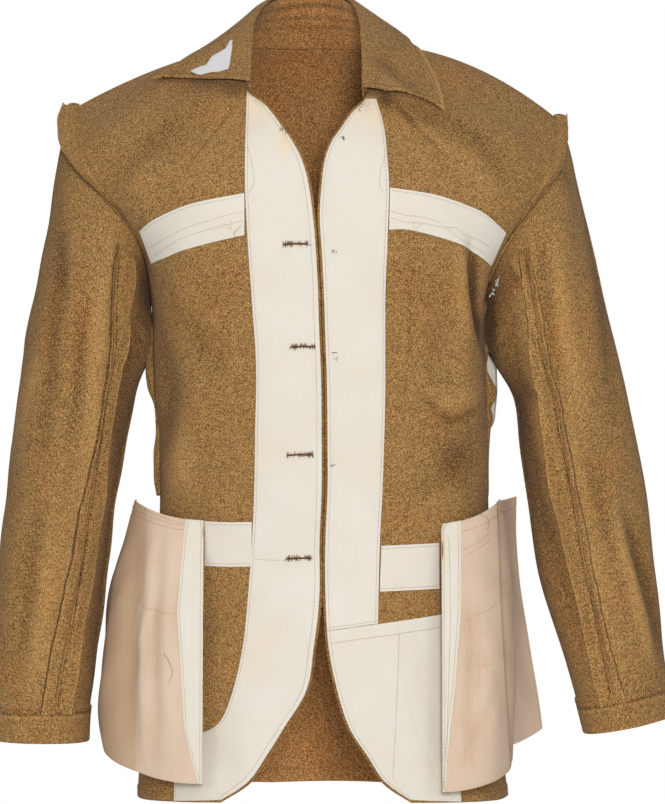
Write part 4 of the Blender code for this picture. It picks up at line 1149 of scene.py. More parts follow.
def wool_serge(name, colour):
    """Woollen serge, spun from dyed-in-the-fleece fibres and milled so that a nap half hides its twill.

    The eye gets a matt, salt-and-pepper cloth: pale and dark fibres side by side, with soft drifts of
    colour and a few pale burrs. Fibre tufts are under 0.5 mm and the twill line 0.9 mm, both too fine
    to show, so they are drawn at TUFT_SHOWN, NAP_SHOWN and TWILL_SHOWN.
    """
    made, tree = new_material(name)
    colour = np.array(colour)
    deep, pale = tuple(colour * (0.56, 0.52, 0.46)), tuple(np.minimum(colour * (2.3, 2.35, 2.45), 1))
    cloth = add(tree, "ShaderNodeTexCoord").outputs["UV"]
    tuft = add(tree, "ShaderNodeTexVoronoi", {"Vector": cloth, "Scale": 1000 / TUFT_SHOWN})
    tuft = add(tree, "ShaderNodeSeparateColor", {"Color": tuft.outputs["Color"]})
    nap = add(tree, "ShaderNodeTexNoise", {
        "Vector": cloth, "Scale": 1000 / NAP_SHOWN, "Detail": 3.0, "Roughness": 0.7})
    mottle = add(tree, "ShaderNodeTexNoise", {"Vector": cloth, "Scale": 1000 / 15, "Detail": 1.0})
    drift = add(tree, "ShaderNodeTexNoise", {"Vector": cloth, "Scale": 1000 / 85, "Detail": 2.0})
    turned = add(tree, "ShaderNodeMapping", {"Vector": cloth, "Scale": (-1, 0.86, 1)})
    twill, weft = (add(tree, "ShaderNodeTexWave", {
        "Vector": way, "Scale": DIAGONAL_BAND / TWILL_SHOWN, "Distortion": 5.0, "Detail": 2.0,
        "Detail Scale": 2.0,
    }, wave_type="BANDS", bands_direction="DIAGONAL") for way in (cloth, turned.outputs[0]))
    # The attribute read here carries painted shade and painted highlight as well as rubbing and soil: below 0
    # it moves the colour down the ramp and warms it, above 0 it moves it up to paler tones.
    wear = add(tree, "ShaderNodeAttribute", attribute_name="wear")
    grain = add(tree, "ShaderNodeMath", {0: tuft.outputs["Red"], 1: 0.88, 2: -0.14}, operation="MULTIPLY_ADD")
    for part, share in ((nap, 0.05), (mottle, 0.04), (drift, 0.06), (twill, 0.1), (weft, 0.08), (wear, 0.2)):
        grain = add(tree, "ShaderNodeMath", {0: part.outputs["Fac"], 1: share, 2: grain.outputs[0]},
                    operation="MULTIPLY_ADD")
    shade = spread(add(tree, "ShaderNodeValToRGB", {"Fac": grain.outputs[0]}),
                   (0.0, tuple(0.2 * colour)), (0.2, deep), (0.45, tuple(colour)), (0.74, pale))
    tint = add(tree, "ShaderNodeMath", {0: wear.outputs["Fac"], 1: 0.16, 2: drift.outputs["Fac"]},
               operation="MULTIPLY_ADD")
    tint = spread(add(tree, "ShaderNodeValToRGB", {"Fac": tint.outputs[0]}),
                  (0.24, (1.08, 0.98, 0.86)), (0.46, (1.0, 1.0, 0.96)), (0.64, (0.98, 1.005, 0.99)))
    shade = add(tree, "ShaderNodeVectorMath", {0: shade, 1: tint}, operation="MULTIPLY").outputs[0]
    burr = add(tree, "ShaderNodeTexNoise", {"Vector": cloth, "Scale": 1000 / 3.4, "Detail": 0.0})
    burr = spread(add(tree, "ShaderNodeValToRGB", {"Fac": burr.outputs["Fac"]}),
                  (0.81, (0, 0, 0)), (0.86, (0.16, 0.12, 0.06)))
    shade = add(tree, "ShaderNodeVectorMath", {0: shade, 1: burr}, operation="ADD").outputs[0]
    height = add(tree, "ShaderNodeMath", {0: twill.outputs["Fac"], 1: 0.25, 2: nap.outputs["Fac"]},
                 operation="MULTIPLY_ADD")
    bump = add(tree, "ShaderNodeBump", {"Height": height.outputs[0], "Strength": 0.6, "Distance": 0.0009})
    shader = add(tree, "ShaderNodeBsdfPrincipled", {
        "Base Color": shade, "Roughness": 0.95, "Specular IOR Level": 0.15, "Sheen Weight": 0.06,
        "Sheen Roughness": 0.6, "Normal": bump.outputs["Normal"]})
    add(tree, "ShaderNodeOutputMaterial", {"Surface": shader.outputs[0]})
    return made


def cotton_drill(name, colour, soil_and_shade, slub_depth):
    """Plain unbleached cotton, woven and washed, so that it is matt with faint slubs.

    The eye gets a pale cloth streaked along its warp, yellowed in soft patches.
    Its threads lie 0.5 mm apart; the weave is drawn coarser, or it would not show.
    """
    made, tree = new_material(name)
    cloth = add(tree, "ShaderNodeTexCoord").outputs["UV"]
    along = add(tree, "ShaderNodeMapping", {"Vector": cloth, "Scale": (1000 / 1.7, 1000 / 60, 1)})
    slub = add(tree, "ShaderNodeTexNoise", {"Vector": along.outputs[0], "Scale": 1.0, "Detail": 3.0})
    patch = add(tree, "ShaderNodeTexNoise", {"Vector": cloth, "Scale": 1000 / 62, "Detail": 3.0})
    warp, weft = (add(tree, "ShaderNodeTexWave", {
        "Vector": cloth, "Scale": BAND / WEAVE_SHOWN, "Distortion": 1.2,
    }, wave_type="BANDS", bands_direction=way) for way in "XY")
    # The attribute read here carries painted shade and painted highlight as well as rubbing and soil; its
    # darkest stop is painted shade in gaping slits.
    wear = add(tree, "ShaderNodeAttribute", attribute_name="wear")
    grain = add(tree, "ShaderNodeMath", {0: slub.outputs["Fac"], 1: 0.24, 2: 0.0}, operation="MULTIPLY_ADD")
    for part, share in ((patch, 0.56), (warp, 0.1), (weft, 0.1), (wear, 0.2)):
        grain = add(tree, "ShaderNodeMath", {0: part.outputs["Fac"], 1: share, 2: grain.outputs[0]},
                    operation="MULTIPLY_ADD")
    pale = tuple(np.minimum(np.array(colour) * 1.05, 1))
    gap_shade = tuple(np.array(soil_and_shade) * 0.22)
    shade = spread(add(tree, "ShaderNodeValToRGB", {"Fac": grain.outputs[0]}),
                   (0.0, gap_shade), (0.14, soil_and_shade), (0.3, soil_and_shade), (0.5, colour), (0.68, pale))
    height = add(tree, "ShaderNodeMath", {0: warp.outputs["Fac"], 1: 0.3, 2: slub.outputs["Fac"]},
                 operation="MULTIPLY_ADD")
    bump = add(tree, "ShaderNodeBump", {
        "Height": height.outputs[0], "Strength": slub_depth, "Distance": 0.0005})
    shader = add(tree, "ShaderNodeBsdfPrincipled", {
        "Base Color": shade, "Roughness": 0.9, "Specular IOR Level": 0.2, "Sheen Weight": 0.05,
        "Normal": bump.outputs["Normal"]})
    add(tree, "ShaderNodeOutputMaterial", {"Surface": shader.outputs[0]})
    return made


def spun_thread(name, colour):
    """Sewing thread, spun and twisted, dull with darker flecks along it."""
    made, tree = new_material(name)
    place = add(tree, "ShaderNodeTexCoord").outputs["Object"]
    twist = add(tree, "ShaderNodeTexNoise", {"Vector": place, "Scale": 1000 / 1.6, "Detail": 2.0})
    shade = spread(add(tree, "ShaderNodeValToRGB", {"Fac": twist.outputs["Fac"]}),
                   (0.35, tuple(np.array(colour) * 0.6)), (0.65, colour))
    shader = add(tree, "ShaderNodeBsdfPrincipled", {"Base Color": shade, "Roughness": 0.85,
                                                     "Specular IOR Level": 0.2})
    add(tree, "ShaderNodeOutputMaterial", {"Surface": shader.outputs[0]})
    return made


def painted_floor(name, colour):
    """Matt white studio paint, rolled on, with hardly any texture left."""
    made, tree = new_material(name)
    place = add(tree, "ShaderNodeTexCoord").outputs["Object"]
    roller = add(tree, "ShaderNodeTexNoise", {"Vector": place, "Scale": 1000 / 4, "Detail": 2.0})
    bump = add(tree, "ShaderNodeBump", {
        "Height": roller.outputs["Fac"], "Strength": 0.05, "Distance": 0.0003})
    shader = add(tree, "ShaderNodeBsdfPrincipled", {
        "Base Color": (*colour, 1), "Roughness": 0.9, "Normal": bump.outputs["Normal"]})
    add(tree, "ShaderNodeOutputMaterial", {"Surface": shader.outputs[0]})
    return made


# Kinds of cloth and thread: the function and name of the material, and the cottons' colour for soil and
# painted shade, and their slubs.
MAKERS = {
    "wool": (wool_serge, "wool_serge_milled"),
    # The face is a lighter copy of the serge: partly its own colour, partly painted light for the inside
    # faces.
    "wool_face_lit": (wool_serge, "wool_serge_pressed_face"),
    "cotton": (cotton_drill, "cotton_drill_woven", linear("#dccdb6"), 0.25),
    "bag": (cotton_drill, "cotton_bag_cloth_woven", linear("#c2a383"), 0.35),
    "label": (cotton_drill, "cotton_tape_woven", linear("#d9d6cf"), 0.2),
    "thread": (spun_thread, "cotton_thread_spun"),
    "brown": (spun_thread, "linen_thread_spun"),
    "khaki": (spun_thread, "khaki_cotton_thread_spun"),
}


def finish_of(kind):
    """The material of a kind of cloth or thread, made when it is first asked for."""
    if kind not in FINISHES:
        maker, name, *rest = MAKERS[kind]
        FINISHES[kind] = maker(name, tuple(getattr(bpy.context.scene.tunic, kind)), *rest)
    return FINISHES[kind]


def draped(grid, outwards, seed, fade, creases=(), seen=None, waves=RUMPLE_WAVES):
    """A sheet with its creases and swells, its normals, and the painted shade in its folds' troughs with the
    painted highlight and rubbing on their ridges.
    """
    normals = normals_of(grid, outwards)
    seen = grid if seen is None else seen
    folds = (creased(seen, creases, -1) + creased(seen, creases, 1)) * fade
    push = folds + rumpled(grid, seed, waves) * fade
    grid = grid + normals * (push * bpy.context.scene.tunic.crease_depth)[..., None]
    return grid, normals_of(grid, outwards), np.clip(folds / FOLD_WEAR_AND_SHADE, -1.5, 0.7)


def hem_rise(grid):
    """Height of the turned-up hem, which starts at the first row."""
    down = cloth_lengths(grid)[..., 1]
    return HEM_RISE * (1 - step_in((down - HEM_TURN) / 1.5))


def stitch_dip(length, at):
    """How a row of stitches draws the cloth in, by the length from an edge."""
    return -DIP_DEPTH * np.exp(-((length - at) / DIP_WIDTH) ** 2)


def hollow(grid, side):
    """How deep a sheet lies in the shade of an armpit or of the collar fall."""
    return sum(depth * soft_patch(grid, *place) for *place, depth in HOLLOWS[side])


def build_fronts():
    for side, name in SIDES:
        grid = front_sheet(side)
        rows, columns, _ = grid.shape
        column = np.linspace(0, 1, columns)[None]
        row = np.arange(rows)[:, None]
        fade = step_in((1 - column) / 0.08) * step_in((rows - 1 - row) / 9)
        collar = step_in((row - SKIRT_ROWS - 0.6 * YOKE_ROWS) / 12) * step_in((0.14 - column) / 0.12)
        grid, normals, wear = draped(grid, from_axis(grid), 11 + side, fade * (1 - collar), BODY_CREASES)
        wear = wear - hollow(grid, side)
        wall("front_" + name, grid, normals, -WOOL, hem_rise(grid), wear=wear, inside="wool_face_lit")


def build_back():
    grid = back_sheet()
    rows, columns, _ = grid.shape
    column = np.linspace(0, 1, columns)[None]
    row = np.arange(rows)[:, None]
    fade = step_in(column / 0.05) * step_in((1 - column) / 0.05) * step_in((rows - 1 - row) / 9)
    grid, normals, wear = draped(grid, from_axis(grid), 21, fade, BODY_CREASES)
    wall("back", grid, normals, -WOOL, hem_rise(grid), wear=wear, inside="wool_face_lit")


def build_sleeves():
    hind = 2 * NECK_TOP - HIND_SEAM
    for side, name in SIDES:
        fore = FRONT_SEAM[side]
        cuts = (("top", fore, hind, TOP_ACROSS), ("under", hind, 2 * NECK_TOP + fore, UNDER_ACROSS))
        centre = sleeve_centre(side)
        for part, first, last, across in cuts:
            grid, rise = sleeve_sheet(side, first, last, across)
            fade = step_in(np.arange(len(grid)) / 8)[:, None]
            level = grid - centre * np.array((0, 1, 0))
            grid, normals, wear = draped(grid, grid - centre, 31 + side, fade, SLEEVE_CREASES[side], level)
            wear = wear - hollow(grid, side)
            # Painted shadow just above the cuff's top edge and a painted highlight on it.
            wear[-CUFF_ROWS - 2:-CUFF_ROWS + 1] += np.array(CUFF_LINE)[:, None]
            wall("sleeve_%s_%s" % (part, name), grid, normals, -WOOL, rise[:, None], wear=wear)


def neck_seam(station):
    """Points of the neck seam from the left front end round the back to the right one."""
    half = 1 - NECK_AT
    parts = (
        (station <= 2, front_edge(-1, COLLAR_ROW + np.clip(station, 0, 2))),
        ((station > 2) & (station <= 4), back_top(-1, NECK_AT + (np.clip(station, 2, 4) - 2) / 2 * half)),
        ((station > 4) & (station < 6), back_top(1, NECK_AT + (6 - np.clip(station, 4, 6)) / 2 * half)),
        (station >= 6, front_edge(1, COLLAR_ROW + 8 - np.clip(station, 6, 8))),
    )
    seam = np.zeros((len(station), 3))
    for here, points in parts:
        seam[here] = points[here]
    return seam


def softened(grid, times, from_row=1):
    """A grid whose points are drawn towards the middle of their neighbours."""
    for _ in range(times):
        mean = (grid[:-2, 1:-1] + grid[2:, 1:-1] + grid[1:-1, :-2] + grid[1:-1, 2:]) / 4
        grid[from_row:-1, 1:-1] += 0.6 * (mean[from_row - 1:] - grid[from_row:-1, 1:-1])
    return grid


def build_collar():
    station = np.linspace(0, len(COLLAR) - 1, COLLAR_STATIONS)
    table = smooth(COLLAR, station)
    roll, edge = table[:, :3], table[:, 3:]
    seam = neck_seam(station)
    share = np.linspace(0, 1, STAND_UP)[:, None, None]
    stand = seam + (roll - seam) * share + np.array((0, 0, SEAM_GAP))
    fade = 0.5 * np.sin(math.pi * share[..., 0])
    stand, normals, _ = draped(stand, from_axis(stand, NECK_MIDDLE), 41, fade)
    rows = np.arange(STAND_UP)[:, None]
    sewn = [int(share_up * (STAND_UP - 1)) for share_up in STAND_STITCHES]
    # Painted light and shade along the stitched rows, as on ridges: pale bands on the outer face, dark ones
    # on the inner.
    wear = sum(STAND_ROW_PALE * np.exp(-(rows - row) ** 2 / 0.6) for row in sewn)
    place, width, depth = STAND_SHADE
    wear = wear - depth * step_in((stand[..., 0] - place) / width)
    wall("collar_stand", stand, normals, -WOOL, 0, wear=wear, inside="wool_face_lit")
    run = (edge - roll) * np.array((1, 1, 0))
    start = roll - unit(run) * (WOOL + SEAM_GAP) + np.array((0, 0, WOOL + FALL_RISE))
    over = roll + run * ROLL_WIDTH + np.array((0, 0, ROLL_HEIGHT))
    f = np.linspace(0, 1, FALL_DOWN)[:, None, None]
    fall = start * (1 - f) ** 2 + over * 2 * f * (1 - f) + edge * f * f
    tree = tree_of(*(CLOTH[name][0] for name in ("front_l", "front_r", "back")))
    lying = int(FALL_DOWN * 0.34)
    for _ in range(2):
        fall[lying:] = clear_of(fall[lying:], tree, CHEST_MIDDLE, WOOL + FALL_CLEARANCE)
        fall = softened(fall, 3, lying)
    fade = step_in(f[..., 0] / 0.2)
    fall, normals, wear = draped(fall, np.array((0, 0, 1.0)), 43, fade, FALL_CREASES, waves=CALM_WAVES)
    down = np.linalg.norm(np.diff(fall[::-1], axis=0), axis=2).cumsum(axis=0)[::-1]
    edge_dip = stitch_dip(np.pad(down, ((0, 1), (0, 0))), FALL_STITCH)
    # A painted highlight along the fall's rolled lower edge.
    wear = wear + FALL_RIM_HIGHLIGHT * np.exp(-(np.arange(len(fall))[::-1, None] / 1.5) ** 2)
    wall("collar_fall", fall, normals, -WOOL, edge_dip, wear=wear)


def ragged(count, seed, amount):
    """Uneven frayed lengths along a raw edge."""
    flow = np.random.default_rng(seed)
    rough = flow.normal(size=count)
    for _ in range(2):
        rough = (np.roll(rough, 1) + 2 * rough + np.roll(rough, -1)) / 4
    return amount * rough


def raw_edge(name, roots, tips, over, rise, nodes, thick, rim=1.5, soil_and_shade=0.0, seam_groove_shade=0.0):
    """A raw seam allowance from its seam to a frayed uneven edge, arched by rise along over.

    Its edge rolls down, with a painted highlight on top and a painted shadow below. The last two arguments
    set painted shade over the whole allowance and in the fold at its seam.
    """
    share = np.linspace(0, 1, RAW_ACROSS)[None, :, None]
    tips = tips + unit(tips - roots) * ragged(len(roots), 51 + len(name), 0.5)[:, None]
    grid = roots[:, None] + (tips - roots)[:, None] * share
    grid = grid + (over * np.reshape(rise, (-1, 1)))[:, None] * np.sin(math.pi * share)
    ways = unit(tips - roots)
    rolled = [tips + ways * beyond - over * drop for beyond, drop in EDGE_ROLL]
    grid = np.concatenate([grid, np.stack(rolled, axis=1)], axis=1)
    normals = normals_of(grid, over[:, None])
    wear = rim * share[0, :, 0] ** 8 - soil_and_shade
    wear = np.concatenate([wear, EDGE_SHADOW])[None] + np.zeros((len(roots), 1))
    wear[:, :3] -= np.reshape(seam_groove_shade, (-1, 1)) * GROOVE_SHADE
    wall(name, grid, normals, -thick, thick, nodes=nodes, thin=0.35, wear=wear)


def build_armhole_edges():
    """Allowances of the armhole seam: the body's lies back on the yoke, the sleeve's stands behind it."""
    first, last = ARMPIT_SKIP, 2 * NECK_TOP - ARMPIT_SKIP
    at = np.linspace(first, last, ARMHOLE_POINTS)
    away = np.abs(at - NECK_TOP)
    top = step_in(1.5 - away / 1.6)[:, None]
    for side, name in SIDES:
        sheet, _ = sleeve_sheet(side, first, last, ARMHOLE_POINTS)
        out = normals_of(sheet, sheet - sleeve_centre(side))[1]
        down = unit(sheet[6] - sheet[0])
        wave = (0.6 * np.sin(1.9 * at + side) + 0.4 * np.sin(4.6 * at))[:, None]
        lap, reach, lift, stand = (np.interp(away, FLANGE_AWAY, values)[:, None] for values in FLANGE[side])
        body = tree_of(*(CLOTH[panel][0] + CLOTH[panel][1] * 0.1 for panel in ("front_" + name, "back")))
        found = [body.find_nearest(Vector(p)) for p in sheet[0] - down * lap]
        roots = np.array([place for place, *_ in found])
        over = unit(out - 0.6 * down)
        raised = np.array((0.5 * side, 0, 1)) * 3.0 * top
        tips = sheet[0] + down * (reach + 0.5 * wave) + out * (lift + 0.5 * wave) + raised
        raw_edge("armhole_edge_" + name, roots, tips, over, 1.3, [], 0.8, seam_groove_shade=step_in((away - 4.4) / 1.2))
        seam = sheet[0] + out * 0.2
        tips = seam + unit(out + 0.25 * down) * (stand + 0.8 * wave * top) + np.array((0, 0, 1)) * 2.0 * top
        # The sleeve's allowance is painted darker all over, as painted shade under the body's allowance, with
        # a fainter painted highlight on its rim.
        raw_edge("armhole_under_" + name, seam, tips, unit(down - 0.25 * out), 0.0,
                 ["armhole_edge_" + name], 0.6, 0.5, 0.6)


def build_side_edges():
    """Raw edges of the fronts that curl out in waves beside the side seams."""
    for side, name in SIDES:
        table = SIDE_EDGES[side]
        front, normals, _ = CLOTH["front_" + name]
        rows = np.flatnonzero((front[:, -1, 2] < table[0, 0]) & (front[:, -1, 2] > table[-1, 0]))
        column = np.argmin(np.abs(front[rows[0], :, 1] + SIDE_ROOT))
        roots = front[rows, column] + normals[rows, column] * 0.3
        z = roots[:, 2]
        reach = at_levels(table, z)[:, 1]
        tips = np.stack([front[rows, -1, 0] + side * reach, roots[:, 1] + 4.0, z], axis=1)
        forward = np.zeros_like(roots) - np.array((0, 1.0, 0))
        raw_edge("side_edge_" + name, roots, tips, forward, 0.12 * reach, ["side_edge_" + name], 0.8)


def sleeve_flap(name, sheet, lie, away, first, last, nodes, seed, crisp):
    """One pressed-open allowance on a sleeve, from the seam to its wavy free edge, with a painted highlight
    on its rim, painted shade at the seam and a painted shadow past its edge; crisp, less for a flap rubbed
    flat, sets how far its edge lifts and how dark these painted marks are.
    """
    count = len(sheet)
    share = np.linspace(0, 1, FLAP_ACROSS)[None]
    place = first[:, None] + (last - first)[:, None] * share
    beyond = np.sign(last - first)[:, None] * np.array([step for step, _ in EDGE_ROLL])
    place = np.concatenate([place, last[:, None] + beyond], axis=1)
    grid = np.empty(place.shape + (3,))
    normals = np.empty_like(grid)
    for r in range(count):
        grid[r] = read_at(place[r], away[r], sheet[r])
        normals[r] = read_at(place[r], away[r], lie[r])
    flow = np.random.default_rng(seed)
    curl = sum(np.sin(np.arange(count) / length + flow.uniform(0, 6)) for length in (23.0, 9.0, 5.0)) / 3
    lift = crisp * (2.2 + 2.4 * np.maximum(curl, -0.5))[:, None] * share ** 2
    width = np.abs(last - first)[:, None]
    low = 0.35 + lift - 1.6 * np.exp(-(share * width / 1.6) ** 2)
    low = np.concatenate([low, low[:, -1:] * 0.5, 0 * low[:, -1:] - 0.4], axis=1)
    wear = 1.2 * share ** 8 - 2.2 * crisp ** 2 * np.exp(-(share * width / 1.3) ** 2)
    wear = np.concatenate([wear, np.zeros((count, 2)) + np.array(EDGE_SHADOW) * crisp], axis=1)
    wall(name, grid, unit(normals), low, low + 1.2, nodes=nodes, thin=0.45, wear=wear)


def build_sleeve_seams():
    for side, name in SIDES:
        top, top_normals, _ = CLOTH["sleeve_top_" + name]
        under, under_normals, _ = CLOTH["sleeve_under_" + name]
        rows = slice(9, len(top) - CUFF_ROWS)
        sheet = np.concatenate([under[rows, :-1], top[rows]], axis=1)
        lie = np.concatenate([under_normals[rows, :-1], top_normals[rows]], axis=1)
        seam = under.shape[1] - 1
        away = np.pad(np.linalg.norm(np.diff(sheet, axis=1), axis=2).cumsum(axis=1), ((0, 0), (1, 0)))
        away = away - away[:, seam:seam + 1]
        z = sheet[:, seam, 2]
        _, shift, inner, outer = at_levels(SLEEVE_FLAPS[side], z).T
        wave = np.sin(np.arange(len(z)) / 8.0 + side) + 0.6 * np.sin(np.arange(len(z)) / 3.7)
        inner = inner + 0.7 * wave + ragged(len(z), 61 + side, 0.4)
        outer = np.maximum(outer - 0.4 * wave + ragged(len(z), 64 + side, 0.4), 1.6)
        node = "sleeve_seam_" + name
        sleeve_flap(node, sheet, lie, away, shift - 0.3, shift - inner, [node], 65 + side, 1.0)
        crisp = 0.7 - 0.15 * side
        sleeve_flap(node + "_outer", sheet, lie, away, shift + 0.3, shift + outer, [], 68 + side, crisp)


def lay(name, flat, panel, dips, seed):
    """A piece of cotton lying on a panel, from its places on the front view.

    dips are rows of stitches that draw it in: 0 down it or 1 across it, share of the way, depth.
    """
    laid = cast(tree_of(outer_face(panel)), flat)
    normals = normals_of(laid, np.array((0, -1.0, 0)))
    swell = rumpled(laid, seed, CALM_WAVES)
    swell = 0.35 * (swell - swell.min()) * bpy.context.scene.tunic.crease_depth
    size = cloth_lengths(laid)
    size = size - size.min(axis=(0, 1))
    for axis, share, depth in dips:
        length = size[..., axis]
        away = length - share * length.max(axis=1 - axis, keepdims=True)
        swell = swell - depth * np.exp(-(away / 1.7) ** 2)
    down, across = (np.minimum(np.arange(count), np.arange(count)[::-1]) for count in laid.shape[:2])
    edge = np.minimum(1, np.minimum(down[:, None], across[None]) / LAID_RIM)
    high = LAY_GAP + COTTON + np.maximum(swell, -0.5) * (0.25 + 0.75 * edge)
    # Its rim is painted paler, partly a painted highlight along the edge and partly rubbing; the patches at
    # the neck are soil.
    wear = 0.5 * (1 - edge) - NECK_SOIL_DEPTH * dark_patches(laid, NECK_SOIL)
    wall(name, laid, normals, LAY_GAP, high, "cotton", wear=wear)


def beside_front_edge(side, table, across, down):
    """Places between an outer edge and the front edge of a panel, a little in from it."""
    panel = CLOTH["front_r" if side > 0 else "front_l"][0][:, 0]
    rows = smooth(table, np.linspace(0, len(table) - 1, down))
    edge_x = np.interp(rows[:, 2], panel[:, 2], panel[:, 0])
    slope = np.interp(rows[:, 2], panel[:, 2], np.gradient(panel[:, 0]) / np.gradient(panel[:, 2]))
    inset = EDGE_SHOWN * np.sqrt(1 + np.clip(slope, -1.2, 1.2) ** 2)
    edge = np.stack([edge_x + side * inset, rows[:, 2]], axis=1)
    return between(rows[:, :2], edge, across)


def build_facings():
    for seed, (name, side, table, across, down, dips) in enumerate(FACINGS, FACING_SEED):
        panel = "front_r" if side > 0 else "front_l"
        lay(name, beside_front_edge(side, table, across, down), panel, dips, seed)


def build_stays():
    for name, table in STAYS.items():
        down, dips = STAY_ROWS[name[:-2]]
        rows = smooth(table, np.linspace(0, len(table) - 1, down))
        panel = "front_l" if name.endswith("l") else "front_r"
        lay(name, between(rows[:, :2], rows[:, 2:], STAY_ACROSS), panel, dips, STAY_SEED + len(name))


def build_underarm():
    grid, normals, _ = CLOTH["back"]
    columns = grid.shape[1]
    for side, name in SIDES:
        table = UNDERARM_EDGES[side]
        rows = np.flatnonzero((grid[:, 0, 2] < table[0, 0]) & (grid[:, 0, 2] > table[-1, 0]))
        use = np.arange(1, UNDERARM_COLUMNS)
        if side > 0:
            use = columns - 1 - use
        sheet = grid[rows][:, use]
        lie = normals[rows][:, use]
        reach = at_levels(table, sheet[:, 0, 2])[:, 1]
        columns_in = (*UNDERARM_FLARE[0], len(use) - 1)
        flare = reach[:, None] * np.interp(np.arange(len(use)), columns_in, UNDERARM_FLARE[1])
        sheet = sheet - np.array((0, 0.35, 0)) * flare[..., None]
        wall("underarm_piece_" + name, sheet, lie, LAY_GAP + flare, LAY_GAP + COTTON + flare, "cotton")


def bag_sheet(table, flared):
    """A pocket bag as a sheet, from its front edge round to the side, or flaring out there."""
    parts = np.moveaxis(smooth(table, np.linspace(0, len(table) - 1, BAG_ROWS))[:, None, :], 2, 0)
    z_front, z_side, x_front, y_front, x_side, y_side = parts
    angle = np.linspace(0, math.pi / 2, BAG_ACROSS)[None]
    sideways = np.sin(angle) ** (2 / BAG_FULLNESS)
    backwards = 1 - np.maximum(np.cos(angle), 0) ** (2 / BAG_FULLNESS)
    if flared:
        even = angle / (math.pi / 2)
        sideways, backwards = (backwards + even) / 2, (sideways + even) / 2
    x = x_front + (x_side - x_front) * sideways
    y = y_front + (y_side - y_front) * backwards
    return np.stack([x, y, z_front + (z_side - z_front) * sideways ** 2], axis=2)


def evened(grid):
    """A grid whose points lie evenly across each row."""
    return np.stack([resampled(row, len(row)) for row in grid])


def dark_patches(grid, places):
    """Soft dark patches, used for soil and for painted shade: each a place (x, z) with a width and a height.
    """
    return np.minimum(sum(soft_patch(grid, *place) for place in places), 1)


def build_bags():
    bags = (("pocket_bag_l", BAG_L, -1, False), ("pocket_bag_r", BAG_R, 1, False),
            ("pocket_side_r", BAG_SIDE_R, 1, True))
    tree = tree_of(*(CLOTH[name][0] for name in ("front_l", "front_r", "back")))
    for name, table, side, flared in bags:
        grid = evened(bag_sheet(table, flared))
        out = np.array((side, -1.0, 0))
        row = np.linspace(0, 1, BAG_ROWS)[:, None]
        fade = (0.25 + 0.75 * step_in(row / 0.25)) * np.ones(BAG_ACROSS)[None]
        grid, _, wear = draped(grid, out, 81 + len(name), fade, BAG_CREASES[name], waves=LIMP_WAVES)
        grid = clear_of(grid, tree, SKIRT_MIDDLE, BAG_CLOTH + BAG_CLEARANCE)
        normals = normals_of(grid, out)
        down = cloth_lengths(grid)[..., 1]
        dip = stitch_dip(down, BAG_HEM)
        wear = BAG_FOLD_WEAR_AND_SHADE * wear - BAG_SHADE_AND_SOIL[name] * dark_patches(grid, BAG_SHADE_AND_SOIL_PLACE[name])
        if name in BAG_TURN:
            line, darker = BAG_TURN[name]
            wear = wear - darker * step_in(past_line(grid, line, side) / TURN_WIDTH)
        if name in BAG_LAYER:
            past = past_line(grid, BAG_LAYER[name], side)
            lower = step_in(past / LAYER_STEP)
            dip = dip + LAYER_RISE * (1 - lower)
            depth, place, width = LAYER_SHADOW_LINE
            wear = wear - depth * np.exp(-((past - place) / width) ** 2) - LAYER_SHADE * lower
        wall(name, grid, normals, -BAG_CLOTH, dip, "bag", wear=wear)


def build_strips():
    for name, bag, across in (("pocket_strip_l", "pocket_bag_l", 18), ("pocket_strip_r", "pocket_bag_r", 16)):
        grid, normals, _ = CLOTH[bag]
        outer = outer_face(bag)
        edge = np.array(STRIP_EDGES[name], float)[::-1]
        far = np.interp(grid[:, 0, 2], edge[:, 1], edge[:, 0])
        strip = np.empty((len(grid), across, 3))
        lie = np.empty_like(strip)
        for r, row in enumerate(grid):
            length = lengths_along(row)
            reach = np.interp(abs(far[r] - row[0, 0]), np.abs(row[:, 0] - row[0, 0]), length)
            at = np.linspace(0.4, max(reach, 2.0), across)
            strip[r] = read_at(at, length, outer[r])
            lie[r] = read_at(at, length, normals[r])
        share = np.linspace(0, 1, across)[None]
        fold = 0.5 * np.exp(-((share - 0.04) / 0.05) ** 2) - 0.4 * np.exp(-((share - 0.5) / 0.06) ** 2)
        # The gaping slit at the strip's top is painted shade.
        wall(name, strip, unit(lie), LAY_GAP, LAY_GAP + COTTON + fold, "cotton",
             wear=-SLIT_SHADE_DEPTH * dark_patches(strip, STRIP_SLIT_SHADE[name]))


def build_label():
    fall, normals, _ = CLOTH["collar_fall"]
    rows = smooth(LABEL, np.linspace(0, len(LABEL) - 1, LABEL_ROWS))
    low = np.stack([rows[:, 0], rows[:, 1] + ragged(LABEL_ROWS, 91, 0.35)], axis=1)
    high = np.stack([rows[:, 0], rows[:, 2] - ragged(LABEL_ROWS, 92, 0.35)], axis=1)
    laid = cast(tree_of(fall[6:] + normals[6:] * 0.2), between(low, high, LABEL_ACROSS))
    lie = normals_of(laid, np.array((0, -1.0, 1)))
    curl = 1.4 * np.exp(-(np.arange(LABEL_ROWS)[:, None] / 5.0) ** 2) * np.ones(LABEL_ACROSS)[None]
    wall("collar_label", laid, lie, LAY_GAP + curl, LAY_GAP + TAPE + curl, "label")


